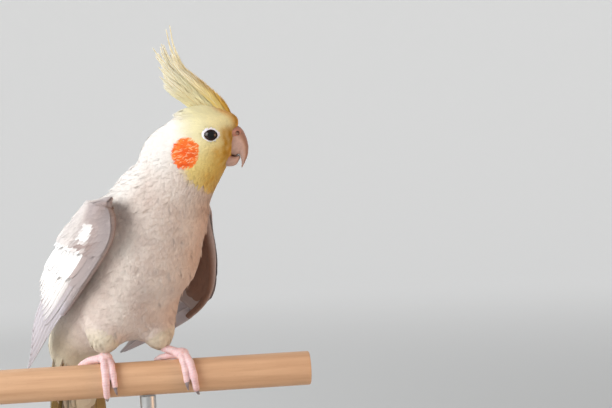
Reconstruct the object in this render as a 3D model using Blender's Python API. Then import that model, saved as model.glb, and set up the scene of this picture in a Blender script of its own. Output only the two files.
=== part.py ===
"""A life-size pale cockatiel on a short length of dowel, held up by a plain display stand.

Points and sizes are in millimetres from the middle of the dowel's axis: X along the dowel,
-Y the side that the breast faces, Z up. They are turned to metres above the floor at the end.
"""

import math

import bpy
import numpy as np

MM = 0.001
GAP = 0.3
PERCH_HEIGHT = 155.0
PERCH_RADIUS = 8.5
PERCH_LENGTH = 164.0
ROD_RADIUS = 4.0
BASE_RADIUS = 68.0
BASE_THICKNESS = 10.0
BASE_EDGE = 2.5

BODY_HEADING = 48.0
BODY_PITCH = 48.0
HEAD_HEADING = 10.0
TAIL_PITCH = -81.0
SKULL = np.array([31.0, -25.0, 119.0])
FLESH_BLEND = 3.2
RAY_REACH = 60.0

EYE_RADIUS = 3.9
EYE_OPENING = 3.1
EYE_PLACE = (7.3, 9.7, 0.2)
LID_WIDTH = 2.0
LID_RISE = 0.55

VANE_THICKNESS = 0.6
VANE_STEP = 0.95
SEED = 11


def heading_axes(heading, pitch=0.0):
    """Rows: forward, left and up of a piece that faces heading degrees round from +X towards -Y."""
    turn = math.radians(heading)
    tilt = math.radians(pitch)
    level = np.array([math.cos(turn), -math.sin(turn), 0.0])
    rise = np.array([0.0, 0.0, 1.0])
    forward = math.cos(tilt) * level + math.sin(tilt) * rise
    up = math.cos(tilt) * rise - math.sin(tilt) * level
    return np.array([forward, np.cross(up, forward), up])


BODY = heading_axes(BODY_HEADING, BODY_PITCH)
HEAD = heading_axes(HEAD_HEADING)


def in_head(forward, left, up):
    """A point given forward, left and up of the skull's centre."""
    return SKULL + np.array([forward, left, up]) @ HEAD


# Each mass of the body under its plumage: centre, radii along, across and deep, and its axes.
MASSES = (
    ((-35.0, 34.5, 21.5), (19.0, 12.5, 10.5), BODY),
    ((-22.5, 23.0, 33.0), (24.0, 18.0, 18.0), BODY),
    ((-6.8, 10.0, 46.0), (26.0, 25.0, 26.0), BODY),
    ((3.2, -4.0, 64.6), (26.0, 26.0, 27.5), BODY),
    ((11.0, -14.0, 81.5), (22.0, 23.5, 22.5), BODY),
    ((19.5, -20.5, 98.0), (17.0, 17.0, 17.5), BODY),
    ((3.0, -9.0, 90.0), (17.0, 15.0, 14.0), BODY),
    (tuple(in_head(-14.0, 0.0, -9.0)), (14.0, 11.5, 13.5), HEAD),
    (tuple(in_head(-1.5, 0.0, -14.0)), (11.5, 10.5, 11.0), HEAD),
    (tuple(SKULL), (15.5, 12.4, 12.8), HEAD),
    (tuple(in_head(3.6, 0.0, -4.5)), (9.2, 9.8, 9.0), HEAD),
    (tuple(in_head(11.5, 0.0, 6.6)), (5.6, 4.4, 3.6), HEAD),
)
# The line that the rings of the skin are strung along, from the rump to the crown.
SPINE = (
    (-39.0, 41.0, 13.0),
    (-30.0, 31.0, 24.0),
    (-18.0, 18.0, 36.0),
    (-6.0, 7.0, 48.0),
    (3.0, -4.0, 62.0),
    (9.0, -12.0, 78.0),
    (15.5, -19.0, 94.0),
    (20.5, -21.2, 103.5),
    (25.5, -23.4, 113.0),
    (30.5, -25.6, 122.5),
)
NECK_START = 0.56
HEAD_START = 0.76
SKIN_AROUND = 30
TORSO_RINGS = 13
NECK_RINGS = 5
HEAD_RINGS = 8


def unit(vectors):
    vectors = np.asarray(vectors, float)
    return vectors / np.linalg.norm(vectors, axis=-1, keepdims=True)


def smooth_curve(points, places):
    """Points of a Catmull-Rom curve through the given points, at places from 0 to 1."""
    points = np.asarray(points, float)
    padded = np.vstack([2 * points[0] - points[1], points, 2 * points[-1] - points[-2]])
    spans = len(points) - 1
    along = np.clip(np.asarray(places, float), 0.0, 1.0) * spans
    index = np.minimum(along.astype(int), spans - 1)
    t = (along - index)[..., None]
    a, b, c, d = (padded[index + k] for k in range(4))
    return 0.5 * (2 * b + (c - a) * t + (2 * a - 5 * b + 4 * c - d) * t**2 + (3 * b - a - 3 * c + d) * t**3)


def flesh_distance(points):
    """About how far each point is outside the body's surface: a smooth union of the masses."""
    total = 0.0
    for centre, radii, axes in MASSES:
        local = (points - np.array(centre)) @ axes.T
        scaled = np.linalg.norm(local / radii, axis=-1)
        slope = np.linalg.norm(local / np.square(radii), axis=-1)
        distance = scaled * (scaled - 1.0) / np.maximum(slope, 1e-9)
        total = total + np.exp(-distance / FLESH_BLEND)
    return -FLESH_BLEND * np.log(total)


def skin_ring(place, tilt, slide, around, grow):
    """One ring of the skin: where rays out of the spine meet the surface grown by grow.

    tilt leans the rays towards the crown, and slide moves the ring along the spine in mm.
    """
    step = 0.004
    origin = smooth_curve(SPINE, place)
    tangent = unit(smooth_curve(SPINE, min(place + step, 1.0)) - smooth_curve(SPINE, max(place - step, 0.0)))
    origin = origin + tangent * slide
    share = min(max((place - 0.45) / 0.45, 0.0), 1.0)
    front = (1.0 - share) * -BODY[2] + share * HEAD[0]
    front = unit(front - tangent * (front @ tangent))
    left = np.cross(tangent, front)
    turn = np.linspace(0.0, 2 * math.pi, around, endpoint=False)[:, None]
    flat = np.cos(turn) * front + np.sin(turn) * left
    rays = math.cos(tilt) * flat + math.sin(tilt) * tangent
    reach = np.arange(0.0, RAY_REACH, 1.0)
    outside = flesh_distance(origin + rays[:, None, :] * reach[None, :, None]) > grow
    first = np.argmax(outside, axis=1)
    low, high = reach[np.maximum(first - 1, 0)], reach[first]
    for _ in range(24):
        middle = (low + high) / 2
        out = flesh_distance(origin + rays * middle[:, None]) > grow
        low, high = np.where(out, low, middle), np.where(out, middle, high)
    return origin + rays * low[:, None]


def skin_rings(start, end, count, around, grow=0.0, slide_start=0.0, slide_end=0.0):
    """Rings from place start to end of the spine; a full end is closed by rings that lean to its pole."""
    lean = [math.radians(a) for a in (82, 64, 46, 30, 15)]
    rings = []
    if start == 0.0:
        rings += [skin_ring(0.0, -a, 0.0, around, grow) for a in lean]
    places = np.linspace(start, end, count)
    for i, place in enumerate(places):
        slide = slide_start if i == 0 else slide_end if i == count - 1 else 0.0
        rings.append(skin_ring(place, 0.0, slide, around, grow))
    if end == 1.0:
        rings += [skin_ring(1.0, a, 0.0, around, grow) for a in reversed(lean)]
    return np.array(rings)


def closed_rings(rings):
    """Points and faces of rings of equal size, joined along their length and closed flat at both ends."""
    count, around = rings.shape[:2]
    faces = [tuple(reversed(range(around)))]
    for i in range(count - 1):
        for j in range(around):
            k = (j + 1) % around
            faces.append((i * around + j, i * around + k, (i + 1) * around + k, (i + 1) * around + j))
    faces.append(tuple(range((count - 1) * around, count * around)))
    return rings.reshape(-1, 3), faces


def new_object(name, points, faces, material=None):
    mesh = bpy.data.meshes.new(name)
    placed = (np.asarray(points) + np.array([0.0, 0.0, PERCH_HEIGHT])) * MM
    mesh.from_pydata(placed.tolist(), [], faces)
    mesh.validate()
    obj = bpy.data.objects.new(name, mesh)
    bpy.context.scene.collection.objects.link(obj)
    if material:
        mesh.materials.append(material)
    return obj


def tube(path, radii, sides=8, flat=1.0, side_hint=(0.0, 0.0, 1.0)):
    """A closed tube along a path. flat squeezes it across the hinted direction."""
    path = np.asarray(path, float)
    tangents = unit(np.gradient(path, axis=0))
    rings = []
    turn = np.linspace(0.0, 2 * math.pi, sides, endpoint=False)[:, None]
    for centre, tangent, radius in zip(path, tangents, radii):
        across = unit(np.cross(np.array(side_hint, float), tangent))
        up = np.cross(tangent, across)
        rings.append(centre + radius * (np.cos(turn) * across + flat * np.sin(turn) * up))
    return closed_rings(np.array(rings))


def ball(centre, radii, axes, rows=8, around=12):
    """A closed ellipsoid with its poles on the first axis."""
    rings = []
    for angle in np.linspace(0.12, math.pi - 0.12, rows):
        turn = np.linspace(0.0, 2 * math.pi, around, endpoint=False)
        local = np.stack(
            [np.full(around, -math.cos(angle)), np.cos(turn) * math.sin(angle), np.sin(turn) * math.sin(angle)], -1
        )
        rings.append(np.array(centre) + (local * radii) @ axes)
    return closed_rings(np.array(rings))


def vane(centres, sides, normals, half_widths, tilt=0.0, thickness=VANE_THICKNESS):
    """A thin closed blade along centres that ends in a point, split alike on both faces.

    tilt raises the edge on the side of -sides by that many mm and lowers the other.
    """
    count = len(centres)
    half = np.asarray(half_widths, float)[:, None]
    rise = normals * tilt * (half / max(float(half.max()), 1e-6))
    up = normals * thickness / 2
    low = centres - sides * half + rise
    high = centres + sides * half - rise
    points = np.stack([low + up, high + up, high - up, low - up], 1).reshape(-1, 3)
    faces = [(0, 2, 1), (0, 3, 2)]
    for i in range(count - 1):
        a, b = 4 * i, 4 * (i + 1)
        faces += [(a, a + 1, b + 1), (a, b + 1, b)]
        faces += [(a + 1, a + 2, b + 2), (a + 1, b + 2, b + 1)]
        faces += [(a + 2, b + 3, b + 2), (a + 2, a + 3, b + 3)]
        faces += [(a + 3, a, b), (a + 3, b, b + 3)]
    last = 4 * (count - 1)
    faces += [(last, last + 1, last + 2), (last, last + 2, last + 3)]
    return points, faces


def largest_surface(mesh):
    """Points and faces of the closed surface of a mesh with the most volume."""
    points = np.array([v.co for v in mesh.vertices], float)
    mesh.calc_loop_triangles()
    faces = np.array([t.vertices for t in mesh.loop_triangles])
    group = np.arange(len(points))
    while True:
        lowest = group[faces].min(axis=1)
        before = group.copy()
        for k in range(3):
            np.minimum.at(group, faces[:, k], lowest)
        group = group[group]
        if (group == before).all():
            break
    owner = group[faces[:, 0]]
    corners = points[faces]
    volume = np.einsum("ij,ij->i", corners[:, 0], np.cross(corners[:, 1], corners[:, 2]))
    names = np.unique(owner)
    best = names[np.argmax([volume[owner == n].sum() for n in names])]
    kept = faces[owner == best]
    used, kept = np.unique(kept, return_inverse=True)
    return points[used], kept.reshape(-1, 3)


def combined(target, others, operation, solver="EXACT"):
    """Applies one Boolean of target with the closed meshes in others, which are then removed."""
    group = bpy.data.collections.new("joined")
    bpy.context.scene.collection.children.link(group)
    for obj in others:
        bpy.context.scene.collection.objects.unlink(obj)
        group.objects.link(obj)
    change = target.modifiers.new("join", "BOOLEAN")
    change.operation = operation
    change.operand_type = "COLLECTION"
    change.collection = group
    change.solver = solver
    bpy.context.view_layer.update()
    graph = bpy.context.evaluated_depsgraph_get()
    made = bpy.data.meshes.new_from_object(target.evaluated_get(graph), depsgraph=graph)
    points, faces = largest_surface(made)
    material = target.data.materials[0] if target.data.materials else None
    target.modifiers.clear()
    for obj in others:
        bpy.data.objects.remove(obj)
    bpy.data.collections.remove(group)
    mesh = bpy.data.meshes.new(target.name)
    mesh.from_pydata(points.tolist(), [], faces.tolist())
    if material:
        mesh.materials.append(material)
    target.data = mesh
    return target


def helper(shape):
    return new_object("helper", *shape)


def fused(name, material, shapes, cutters=(), solver="EXACT"):
    """One node: its shapes joined, then its cutters taken away."""
    target = new_object(name, *shapes[0], material)
    if len(shapes) > 1:
        combined(target, [helper(s) for s in shapes[1:]], "UNION", solver)
    if cutters:
        combined(target, [helper(s) for s in cutters], "DIFFERENCE", solver)
    return target


def finish(name, colour, roughness, metallic=0.0):
    material = bpy.data.materials.new(name)
    material.use_nodes = True
    shader = material.node_tree.nodes["Principled BSDF"]
    shader.inputs["Base Color"].default_value = (*colour, 1.0)
    shader.inputs["Roughness"].default_value = roughness
    shader.inputs["Metallic"].default_value = metallic
    return material


def grown_body():
    """The body's skin grown by the gap, on the same rings as its nodes, as a cutter for what sits on it."""
    torso = skin_rings(0.0, NECK_START, TORSO_RINGS, SKIN_AROUND, GAP)
    neck = skin_rings(NECK_START, HEAD_START, NECK_RINGS, SKIN_AROUND, GAP)
    head = skin_rings(HEAD_START, 1.0, HEAD_RINGS, SKIN_AROUND, GAP)
    return closed_rings(np.concatenate([torso, neck[1:], head[1:]]))


def build_trunk(plumage, face):
    """Torso, neck and head: three lengths of one skin, parted by thin level cuts across the spine."""
    torso = closed_rings(skin_rings(0.0, NECK_START, TORSO_RINGS, SKIN_AROUND, slide_end=-GAP / 2))
    neck = closed_rings(
        skin_rings(
            NECK_START, HEAD_START, NECK_RINGS, SKIN_AROUND, slide_start=GAP / 2, slide_end=-GAP / 2
        )
    )
    head = closed_rings(skin_rings(HEAD_START, 1.0, HEAD_RINGS, SKIN_AROUND, slide_start=GAP / 2))
    new_object("torso", *torso, plumage)
    new_object("neck", *neck, plumage)
    lids = [eyelid(side) for side in (-1, 1)]
    sockets = [ball(eye_centre(side), (EYE_RADIUS + GAP,) * 3, eye_axes(side), 12, 20) for side in (-1, 1)]
    fused("head", face, [head, *lids], sockets)


def eye_centre(side):
    """side is 1 for the left eye and -1 for the right."""
    return in_head(EYE_PLACE[0], side * EYE_PLACE[1], EYE_PLACE[2])


def eye_axes(side):
    """Rows: out of the eye, then two across it."""
    out = unit(np.array([0.22, side * 1.0, 0.05]) @ HEAD)
    across = unit(np.cross(out, HEAD[2]))
    return np.array([out, across, np.cross(out, across)])


def eyelid(side):
    """A low bare ring round the opening of one eye, its foot well inside the head."""
    axes = eye_axes(side)
    rim = math.sqrt(EYE_RADIUS**2 - EYE_OPENING**2)
    profile = (
        (EYE_OPENING - 0.3, rim - 1.5),
        (EYE_OPENING - 0.2, rim + LID_RISE),
        (EYE_OPENING + 0.7, rim + LID_RISE),
        (EYE_OPENING + LID_WIDTH, rim - 1.0),
        (EYE_OPENING + LID_WIDTH, rim - 4.0),
        (EYE_OPENING, rim - 4.0),
    )
    around = 20
    rings = []
    for turn in np.linspace(0.0, 2 * math.pi, around, endpoint=False):
        spoke = math.cos(turn) * axes[1] + math.sin(turn) * axes[2]
        rings.append([eye_centre(side) + spoke * r + axes[0] * d for r, d in profile])
    points = np.array(rings).reshape(-1, 3)
    faces = []
    sides = len(profile)
    for i in range(around):
        for j in range(sides):
            a, b = i * sides, ((i + 1) % around) * sides
            k = (j + 1) % sides
            faces.append((a + j, a + k, b + k, b + j))
    return points, faces


def build_eyes(material):
    for side, name in ((1, "eye_left"), (-1, "eye_right")):
        new_object(name, *ball(eye_centre(side), (EYE_RADIUS,) * 3, eye_axes(side), 10, 16), material)


# Side outlines of the bill, forward and up of the skull's centre, from its root to its tip.
CULMEN = ((13.5, 5.2), (18.6, 4.4), (21.8, 1.6), (23.8, -4.6), (23.5, -9.8), (22.0, -13.4), (20.3, -16.4))
TOMIUM = ((11.0, -6.0), (14.3, -9.2), (17.0, -10.6), (19.2, -9.8), (20.0, -11.4), (20.3, -13.8), (20.1, -16.1))
BILL_HALF_WIDTHS = (5.8, 5.6, 4.9, 3.9, 2.8, 1.5, 0.35)
LOWER_TOP = ((11.0, -7.0), (14.2, -9.2), (17.0, -10.4), (19.3, -10.0))
LOWER_BOTTOM = ((10.5, -14.6), (14.0, -15.4), (17.4, -14.8), (19.7, -11.6))
LOWER_HALF_WIDTHS = (4.6, 4.3, 3.4, 1.8)
CERE_PLACE = (17.6, 0.0, 1.7)
CERE_RADII = (4.4, 5.2, 3.2)
NOSTRIL_RADIUS = 0.75


def profile_loft(upper, lower, half_widths, count, sides, grow=0.0):
    """A closed loft between two outlines in the head's middle plane, oval across."""
    places = np.linspace(0.0, 1.0, count)
    top = smooth_curve(np.array(upper), places)
    bottom = smooth_curve(np.array(lower), places)
    widths = smooth_curve(np.array(half_widths)[:, None], places)[:, 0] + grow
    turn = np.linspace(0.0, 2 * math.pi, sides, endpoint=False)
    rings = []
    for high, low, width in zip(top, bottom, widths):
        middle, half = (high + low) / 2, (high - low) / 2
        half = half * (1.0 + grow / max(np.linalg.norm(half), 1e-6))
        plane = middle + np.cos(turn)[:, None] * half
        rings.append(SKULL + np.stack([plane[:, 0], np.sin(turn) * width, plane[:, 1]], -1) @ HEAD)
    return closed_rings(np.array(rings)[:, ::-1])


def build_bill(horn, fleshy):
    """Hooked upper bill, the scoop of the lower one, and the cere with its two nostrils."""
    upper = profile_loft(CULMEN, TOMIUM, BILL_HALF_WIDTHS, 15, 16)
    fused("bill_upper", horn, [upper], [grown_body()])
    lower = profile_loft(LOWER_TOP, LOWER_BOTTOM, LOWER_HALF_WIDTHS, 8, 12)
    grown_upper = profile_loft(CULMEN, TOMIUM, BILL_HALF_WIDTHS, 15, 16, grow=GAP)
    fused("bill_lower", horn, [lower], [grown_body(), grown_upper])
    cere = ball(in_head(*CERE_PLACE), CERE_RADII, HEAD, 10, 16)
    nostrils = []
    for side in (-1, 1):
        mouth = in_head(20.2, side * 6.2, 2.2)
        nostrils.append(tube([mouth, in_head(18.4, side * 3.0, 1.4)], (NOSTRIL_RADIUS,) * 2, 8))
    fused("cere", fleshy, [cere], [grown_body(), grown_upper, *nostrils])


CREST_COUNT = 13
CREST_WIDTH = 2.3
CREST_SPREAD = 5.0
# Middle lines of the crest's front, middle and back plumes, forward and up of the skull's centre.
CREST_LINES = (
    ((17.0, 7.0), (13.2, 16.5), (3.6, 25.6), (-5.2, 33.6), (-9.6, 43.5), (-11.5, 54.5)),
    ((8.0, 11.0), (0.5, 18.5), (-6.8, 26.0), (-12.2, 32.0), (-16.6, 37.8), (-20.4, 43.8)),
    ((-1.0, 13.0), (-4.6, 16.4), (-8.4, 19.4), (-12.0, 22.0), (-14.8, 23.7), (-17.4, 25.0)),
)
CREST_OUTLINE = (0.8, 0.95, 1.0, 0.95, 0.7, 0.4, 0.14)


def crest_feather(place, sway, length_share):
    """One crest plume: place runs from 0 at the front of the crest to 1 at its back."""
    front, middle, back = (np.array(line) for line in CREST_LINES)
    first, second, share = (front, middle, 2 * place) if place < 0.5 else (middle, back, 2 * place - 1)
    line = first * (1 - share) + second * share
    t = np.linspace(0.0, 1.0, len(CREST_OUTLINE))
    side = smooth_curve(line, t * length_share)
    slopes = np.gradient(side, axis=0)
    lateral = sway * (0.3 + 0.7 * t) * CREST_SPREAD
    centres = SKULL + np.stack([side[:, 0], lateral, side[:, 1]], -1) @ HEAD
    tangents = unit(np.gradient(centres, axis=0))
    across = np.stack([-slopes[:, 1], np.zeros(len(t)), slopes[:, 0]], -1) @ HEAD
    across = unit(across - tangents * np.sum(across * tangents, -1, keepdims=True))
    half_widths = CREST_WIDTH * np.array(CREST_OUTLINE)
    return vane(centres, across, np.cross(tangents, across), half_widths, thickness=0.7)


def build_crest(material):
    """Long narrow plumes that rise off the forehead and crown, longest in front."""
    rng = np.random.default_rng(SEED)
    pad = ball(in_head(9.2, 0.0, 9.8), (12.2, 4.8, 3.8), heading_axes(HEAD_HEADING, -31.0), 8, 14)
    shapes = [pad]
    for i in range(CREST_COUNT):
        place = i / (CREST_COUNT - 1)
        sway = (-1) ** i * (0.15 + 0.5 * rng.random())
        share = 1.0 if i in (0, 2, CREST_COUNT // 2) else 0.74 + 0.2 * rng.random()
        shapes.append(crest_feather(place, sway, share))
    cere = ball(in_head(*CERE_PLACE), np.array(CERE_RADII) + GAP, HEAD, 10, 16)
    upper = profile_loft(CULMEN, TOMIUM, BILL_HALF_WIDTHS, 15, 16, grow=GAP)
    fused("crest", material, shapes, [grown_body(), cere, upper])


# Outer edges of each folded wing: the leading edge from the wrist, and the edge over the back.
WING_EDGES = {
    "wing_right": (
        ((-13.5, -43.0, 87.0), (-14.7, -37.0, 71.5), (-28.2, -17.0, 50.4), (-45.5, 8.0, 27.1), (-60.6, 28.0, 4.0)),
        ((-23.0, -24.0, 90.5), (-35.0, 2.0, 76.0), (-47.2, 21.0, 58.4), (-56.0, 32.0, 35.5), (-61.8, 31.0, 4.8)),
        1.0,
    ),
    "wing_left": (
        ((36.0, 5.0, 77.0), (38.6, 17.0, 54.0), (35.0, 30.0, 34.8), (19.0, 46.0, 21.0), (-14.0, 57.0, 6.0)),
        ((22.0, 16.0, 91.0), (9.0, 27.0, 84.0), (-3.0, 36.0, 69.0), (-13.0, 45.0, 48.0), (-17.0, 57.5, 10.0)),
        -1.0,
    ),
}
WING_CAMBER = 5.0
WING_DEPTH = 4.4
WING_PLATE_END = 0.62
WING_LINES = 9
PRIMARY_LINES = 3


def wing_sheet(edges, s, w):
    """The outer surface of a folded wing: s from wrist to tip, w from leading edge to back."""
    leading, back, hand = edges
    s, w = np.broadcast_arrays(np.asarray(s, float), np.asarray(w, float))

    def place(s, w):
        front, rear = smooth_curve(leading, s), smooth_curve(back, s)
        chord = rear - front
        run = unit(smooth_curve(leading, np.clip(s + 0.02, 0, 1)) - smooth_curve(leading, np.clip(s - 0.02, 0, 1)))
        out = unit(np.cross(chord, run)) * hand
        bulge = WING_CAMBER * np.sin(math.pi * np.clip(w, 0, 1)) * (1 - s) ** 0.5
        return front + chord * w[..., None] + out * bulge[..., None]

    point = place(s, w)
    ds = place(np.clip(s + 0.01, 0, 0.999), w) - place(np.clip(s - 0.01, 0, 0.999), w)
    dw = place(s, np.clip(w + 0.02, 0, 1)) - place(s, np.clip(w - 0.02, 0, 1))
    normal = unit(np.cross(dw, ds)) * hand
    return point, unit(ds), normal, np.linalg.norm(place(s, np.ones_like(w)) - place(s, np.zeros_like(w)), axis=-1)


def wing_plate(edges):
    """The fleshy part of the wing, thick at its leading edge and rounded at the wrist."""
    rings = []
    for s in np.linspace(0.0, WING_PLATE_END, 12):
        w = np.linspace(0.02, 0.96, 9)
        point, _, normal, _ = wing_sheet(edges, s, w)
        swell = math.sqrt(1 - max(0.0, 1 - s / 0.14) ** 2) if s < 0.14 else 1.0
        end = 1.0 - 0.45 * s / WING_PLATE_END
        depth = WING_DEPTH * (0.35 + 0.65 * swell) * end * np.sin(math.pi * (0.06 + 0.88 * (1 - w) ** 0.8)) ** 0.5
        middle = point.mean(axis=0)
        close = 0.62 + 0.38 * swell
        point = middle + (point - middle) * close
        rings.append(np.vstack([point - 0.2 * normal, (point - normal * 2 * depth[:, None])[::-1]]))
    rings = np.array(rings)
    return closed_rings(rings if edges[2] < 0 else rings[:, ::-1])


def wing_vane(edges, w, start, end, lift, width_share, pitch, segments):
    """A feather that lies along the wing at w, from start to end, with its root sunk in the plate."""
    t = np.linspace(0.0, 1.0, segments + 1)
    s = start + (end - start) * t
    point, run, normal, chord = wing_sheet(edges, s, np.full(len(t), w))
    sunk = np.where(t < 0.08, -1.4, lift)
    centres = point + normal * sunk[:, None]
    across = unit(np.cross(normal, run)) * edges[2]
    outline = np.interp(t, [0, 0.25, 0.7, 0.9, 1], [0.7, 1.0, 0.95, 0.62, 0.14])
    half = np.maximum(width_share * pitch * chord, 1.6) * outline
    return vane(centres, across, normal, half, tilt=VANE_STEP * width_share)


def build_wings(material):
    """Each folded wing: a fleshy plate, then tiers of vanes that lie over one another like tiles."""
    for name, edges in WING_EDGES.items():
        rng = np.random.default_rng(SEED)
        shapes = [wing_plate(edges)]
        pitch = 0.92 / WING_LINES
        for i in range(WING_LINES):
            w = 0.05 + pitch * (i + 0.5)
            wobble = 0.02 * rng.random()
            share = i / (WING_LINES - 1)
            if i < PRIMARY_LINES:
                tip = 1.0 - 0.06 * abs(i - 1) - wobble
            else:
                tip = 0.80 - 0.16 * share - wobble
            shapes.append(wing_vane(edges, w, 0.42, tip, 0.3, 0.98, pitch, 4))
            shapes.append(wing_vane(edges, w, 0.28, 0.56 - 0.10 * share + wobble, 1.3, 0.98, pitch, 2))
            shapes.append(wing_vane(edges, w, 0.14, 0.36 - 0.05 * share - wobble, 2.2, 0.95, pitch, 2))
        shapes.append(shoulder_root(edges))
        fused(name, material, shapes, [grown_body()])


def shoulder_root(edges):
    """The upper arm's short block that joins the wing to the side of the body."""
    point, _, normal, _ = wing_sheet(edges, np.array([0.17]), np.array([0.62]))
    return ball(point[0] - normal[0] * 12.0, (15.0, 11.0, 11.0), BODY, 9, 14)


TAIL_ROOT = np.array([-36.5, 37.0, 17.0])
TAIL_LENGTHS = (152.0, 132.0, 116.0, 104.0, 94.0, 86.0)
TAIL_HALF_WIDTH = 6.4


def tail_axes():
    """Rows: along the tail to its tip, to the bird's left, and out of its upper side."""
    level = heading_axes(BODY_HEADING)
    down = math.radians(TAIL_PITCH)
    along = -math.cos(down) * level[0] + math.sin(down) * level[2]
    left = level[1]
    return np.array([along, left, unit(np.cross(left, along))])


def tail_vane(axes, side, angle, offset, layer, start, length, half_width, outline, segments):
    """A feather of the tail: angle in degrees off its middle line, layer in mm from its upper side."""
    turn = math.radians(angle) * side
    run = math.cos(turn) * axes[0] + math.sin(turn) * axes[1]
    across = unit(np.cross(axes[2], run))
    t = np.linspace(0.0, 1.0, segments + 1)
    centres = TAIL_ROOT + axes[1] * offset * side + axes[2] * layer
    centres = centres + run * (start + (length - start) * t)[:, None]
    half = half_width * np.interp(t, *outline)
    count = len(t)
    return vane(centres, np.tile(across, (count, 1)), np.tile(axes[2], (count, 1)), half)


def build_tail(material):
    """Twelve long graduated tail feathers in a stack, with coverts over and under their roots."""
    axes = tail_axes()
    block_path = [TAIL_ROOT + axes[0] * d - axes[2] * 2.5 for d in (-6.0, 6.0, 18.0, 28.0, 36.0)]
    rings = []
    turn = np.linspace(0.0, 2 * math.pi, 16, endpoint=False)[:, None]
    for centre, across, deep in zip(block_path, (10.5, 12.0, 11.5, 9.5, 6.0), (6.5, 6.5, 5.6, 4.4, 3.0)):
        rings.append(centre + across * np.cos(turn) * axes[1] + deep * np.sin(turn) * axes[2])
    shapes = [closed_rings(np.array(rings))]
    points, faces = shapes[0]
    shapes[0] = (points, [tuple(reversed(f)) for f in faces])
    long_outline = ([0, 0.2, 0.7, 0.9, 1], [0.55, 0.9, 1.0, 0.6, 0.12])
    central_outline = ([0, 0.2, 0.6, 0.85, 1], [0.55, 0.95, 0.9, 0.5, 0.1])
    for i, length in enumerate(TAIL_LENGTHS):
        for side in (1, -1):
            outline = long_outline if i else central_outline
            layer = -0.95 * (i + 1) if i else (0.0 if side > 0 else -0.93)
            offset = 2.2 if i == 0 else 4.2 + 0.8 * i
            shapes.append(
                tail_vane(axes, side, 0.4 + 1.5 * i, offset, layer, 8.0, length, TAIL_HALF_WIDTH, outline, 5)
            )
    covert_outline = ([0, 0.3, 0.75, 1], [0.7, 1.0, 0.85, 0.2])
    for i in range(3):
        for side in (1, -1):
            length = 50.0 - 6.0 * i
            shapes.append(
                tail_vane(axes, side, 2.0 + 3.0 * i, 2.6 + 2.6 * i, 1.2 - 0.2 * i, 12.0, length, 5.0, covert_outline, 3)
            )
            shapes.append(
                tail_vane(axes, side, 2.0 + 3.0 * i, 2.6 + 2.6 * i, -7.0 + 0.1 * i, 12.0, length + 6, 5.0, covert_outline, 3)
            )
    fused("tail", material, shapes, [grown_body()])


ANKLE_HEIGHT = 16.4
THIGHS = {
    "thigh_right": ((-20.6, -1.0, 16.4), (-20.0, 1.0, 21.0), (-18.0, 4.0, 27.0), (-15.0, 7.0, 35.0)),
    "thigh_left": ((7.6, 2.0, 16.4), (7.0, 3.5, 21.0), (6.0, 6.5, 27.0), (4.0, 9.0, 35.0)),
}
THIGH_RADII = (4.6, 6.4, 7.8, 8.6)
TARSUS_RADIUS = 2.1
TOE_RADII = (2.6, 2.5, 2.35, 2.2, 2.1, 1.9)
# Each toe: where it starts and ends along the dowel, how far round the dowel it goes from the
# top towards the breast side in degrees, and the share of a full toe's thickness.
FEET = {
    "right": {
        "ball": (-20.5, -1.5),
        "tarsus_top": (-20.4, -1.0),
        "toes": {
            "outer_front": (-20.8, -20.2, 8.0, 132.0, 1.0),
            "inner_front": (-19.0, -16.0, 8.0, 100.0, 0.9),
            "outer_back": (-22.0, -34.0, -8.0, -62.0, 1.0),
            "inner_back": (-19.5, -16.5, -8.0, -58.0, 0.85),
        },
    },
    "left": {
        "ball": (17.5, -1.5),
        "tarsus_top": (7.8, 2.0),
        "toes": {
            "outer_front": (18.6, 24.0, 8.0, 124.0, 1.0),
            "inner_front": (17.0, 19.4, 8.0, 98.0, 0.9),
            "outer_back": (18.0, 22.0, -10.0, -80.0, 1.0),
            "inner_back": (16.0, 5.5, -6.0, -34.0, 0.85),
        },
    },
}
CLAW_TURN = 34.0


def around_perch(x, angle, clear):
    """A point clear mm off the dowel, angle degrees from its top towards the breast side."""
    turn = np.radians(angle)
    reach = PERCH_RADIUS + clear
    return np.stack([x, -reach * np.sin(turn), reach * np.cos(turn)], -1)


def toe_path(toe, count=7):
    """Centre line of one toe, round the dowel's own curve."""
    start_x, end_x, start_angle, end_angle, share = toe
    t = np.linspace(0.0, 1.0, count)
    radii = np.interp(t, np.linspace(0, 1, len(TOE_RADII)), TOE_RADII) * share
    bend = np.sin(math.pi * t) * 0.12 * (end_x - start_x)
    x = start_x + (end_x - start_x) * t**0.8 + bend
    return around_perch(x, start_angle + (end_angle - start_angle) * t, radii + GAP), radii


def claw_shape(toe):
    """A curved claw off the end of one toe, clear of the dowel."""
    path, radii = toe_path(toe)
    end_angle, end_x = toe[3], toe[1]
    way = math.copysign(1.0, end_angle)
    drift = math.copysign(1.0, toe[1] - toe[0]) * min(abs(toe[1] - toe[0]), 6.0) / 12.0
    t = np.linspace(0.0, 1.0, 6)
    thick = 1.15 * (1 - 0.86 * t)
    gap_angle = math.degrees((GAP + 0.25) / (PERCH_RADIUS + radii[-1]))
    angles = end_angle + way * (gap_angle + CLAW_TURN * t)
    clear = GAP + thick + (radii[-1] - thick[0]) * (1 - t) ** 2 + 1.2 * np.sin(math.pi * t * 0.8)
    return tube(around_perch(end_x + drift * 4 * t, angles, clear), thick, 6, side_hint=(1.0, 0.0, 0.0))


def thigh_rings(path, grow=0.0):
    """Level rings of one feathered thigh from its ankle up, grown by grow all round."""
    places = np.linspace(0.0, 1.0, 7)
    curve = smooth_curve(path, places)
    curve[0, 2] -= grow
    radii = smooth_curve(np.array(THIGH_RADII)[:, None], places)[:, 0] + grow
    turn = np.linspace(0.0, 2 * math.pi, 16, endpoint=False)[:, None]
    circle = np.cos(turn) * np.array([1.0, 0, 0]) + np.sin(turn) * np.array([0, 1.0, 0])
    return np.array([c + r * circle for c, r in zip(curve, radii)])


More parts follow.
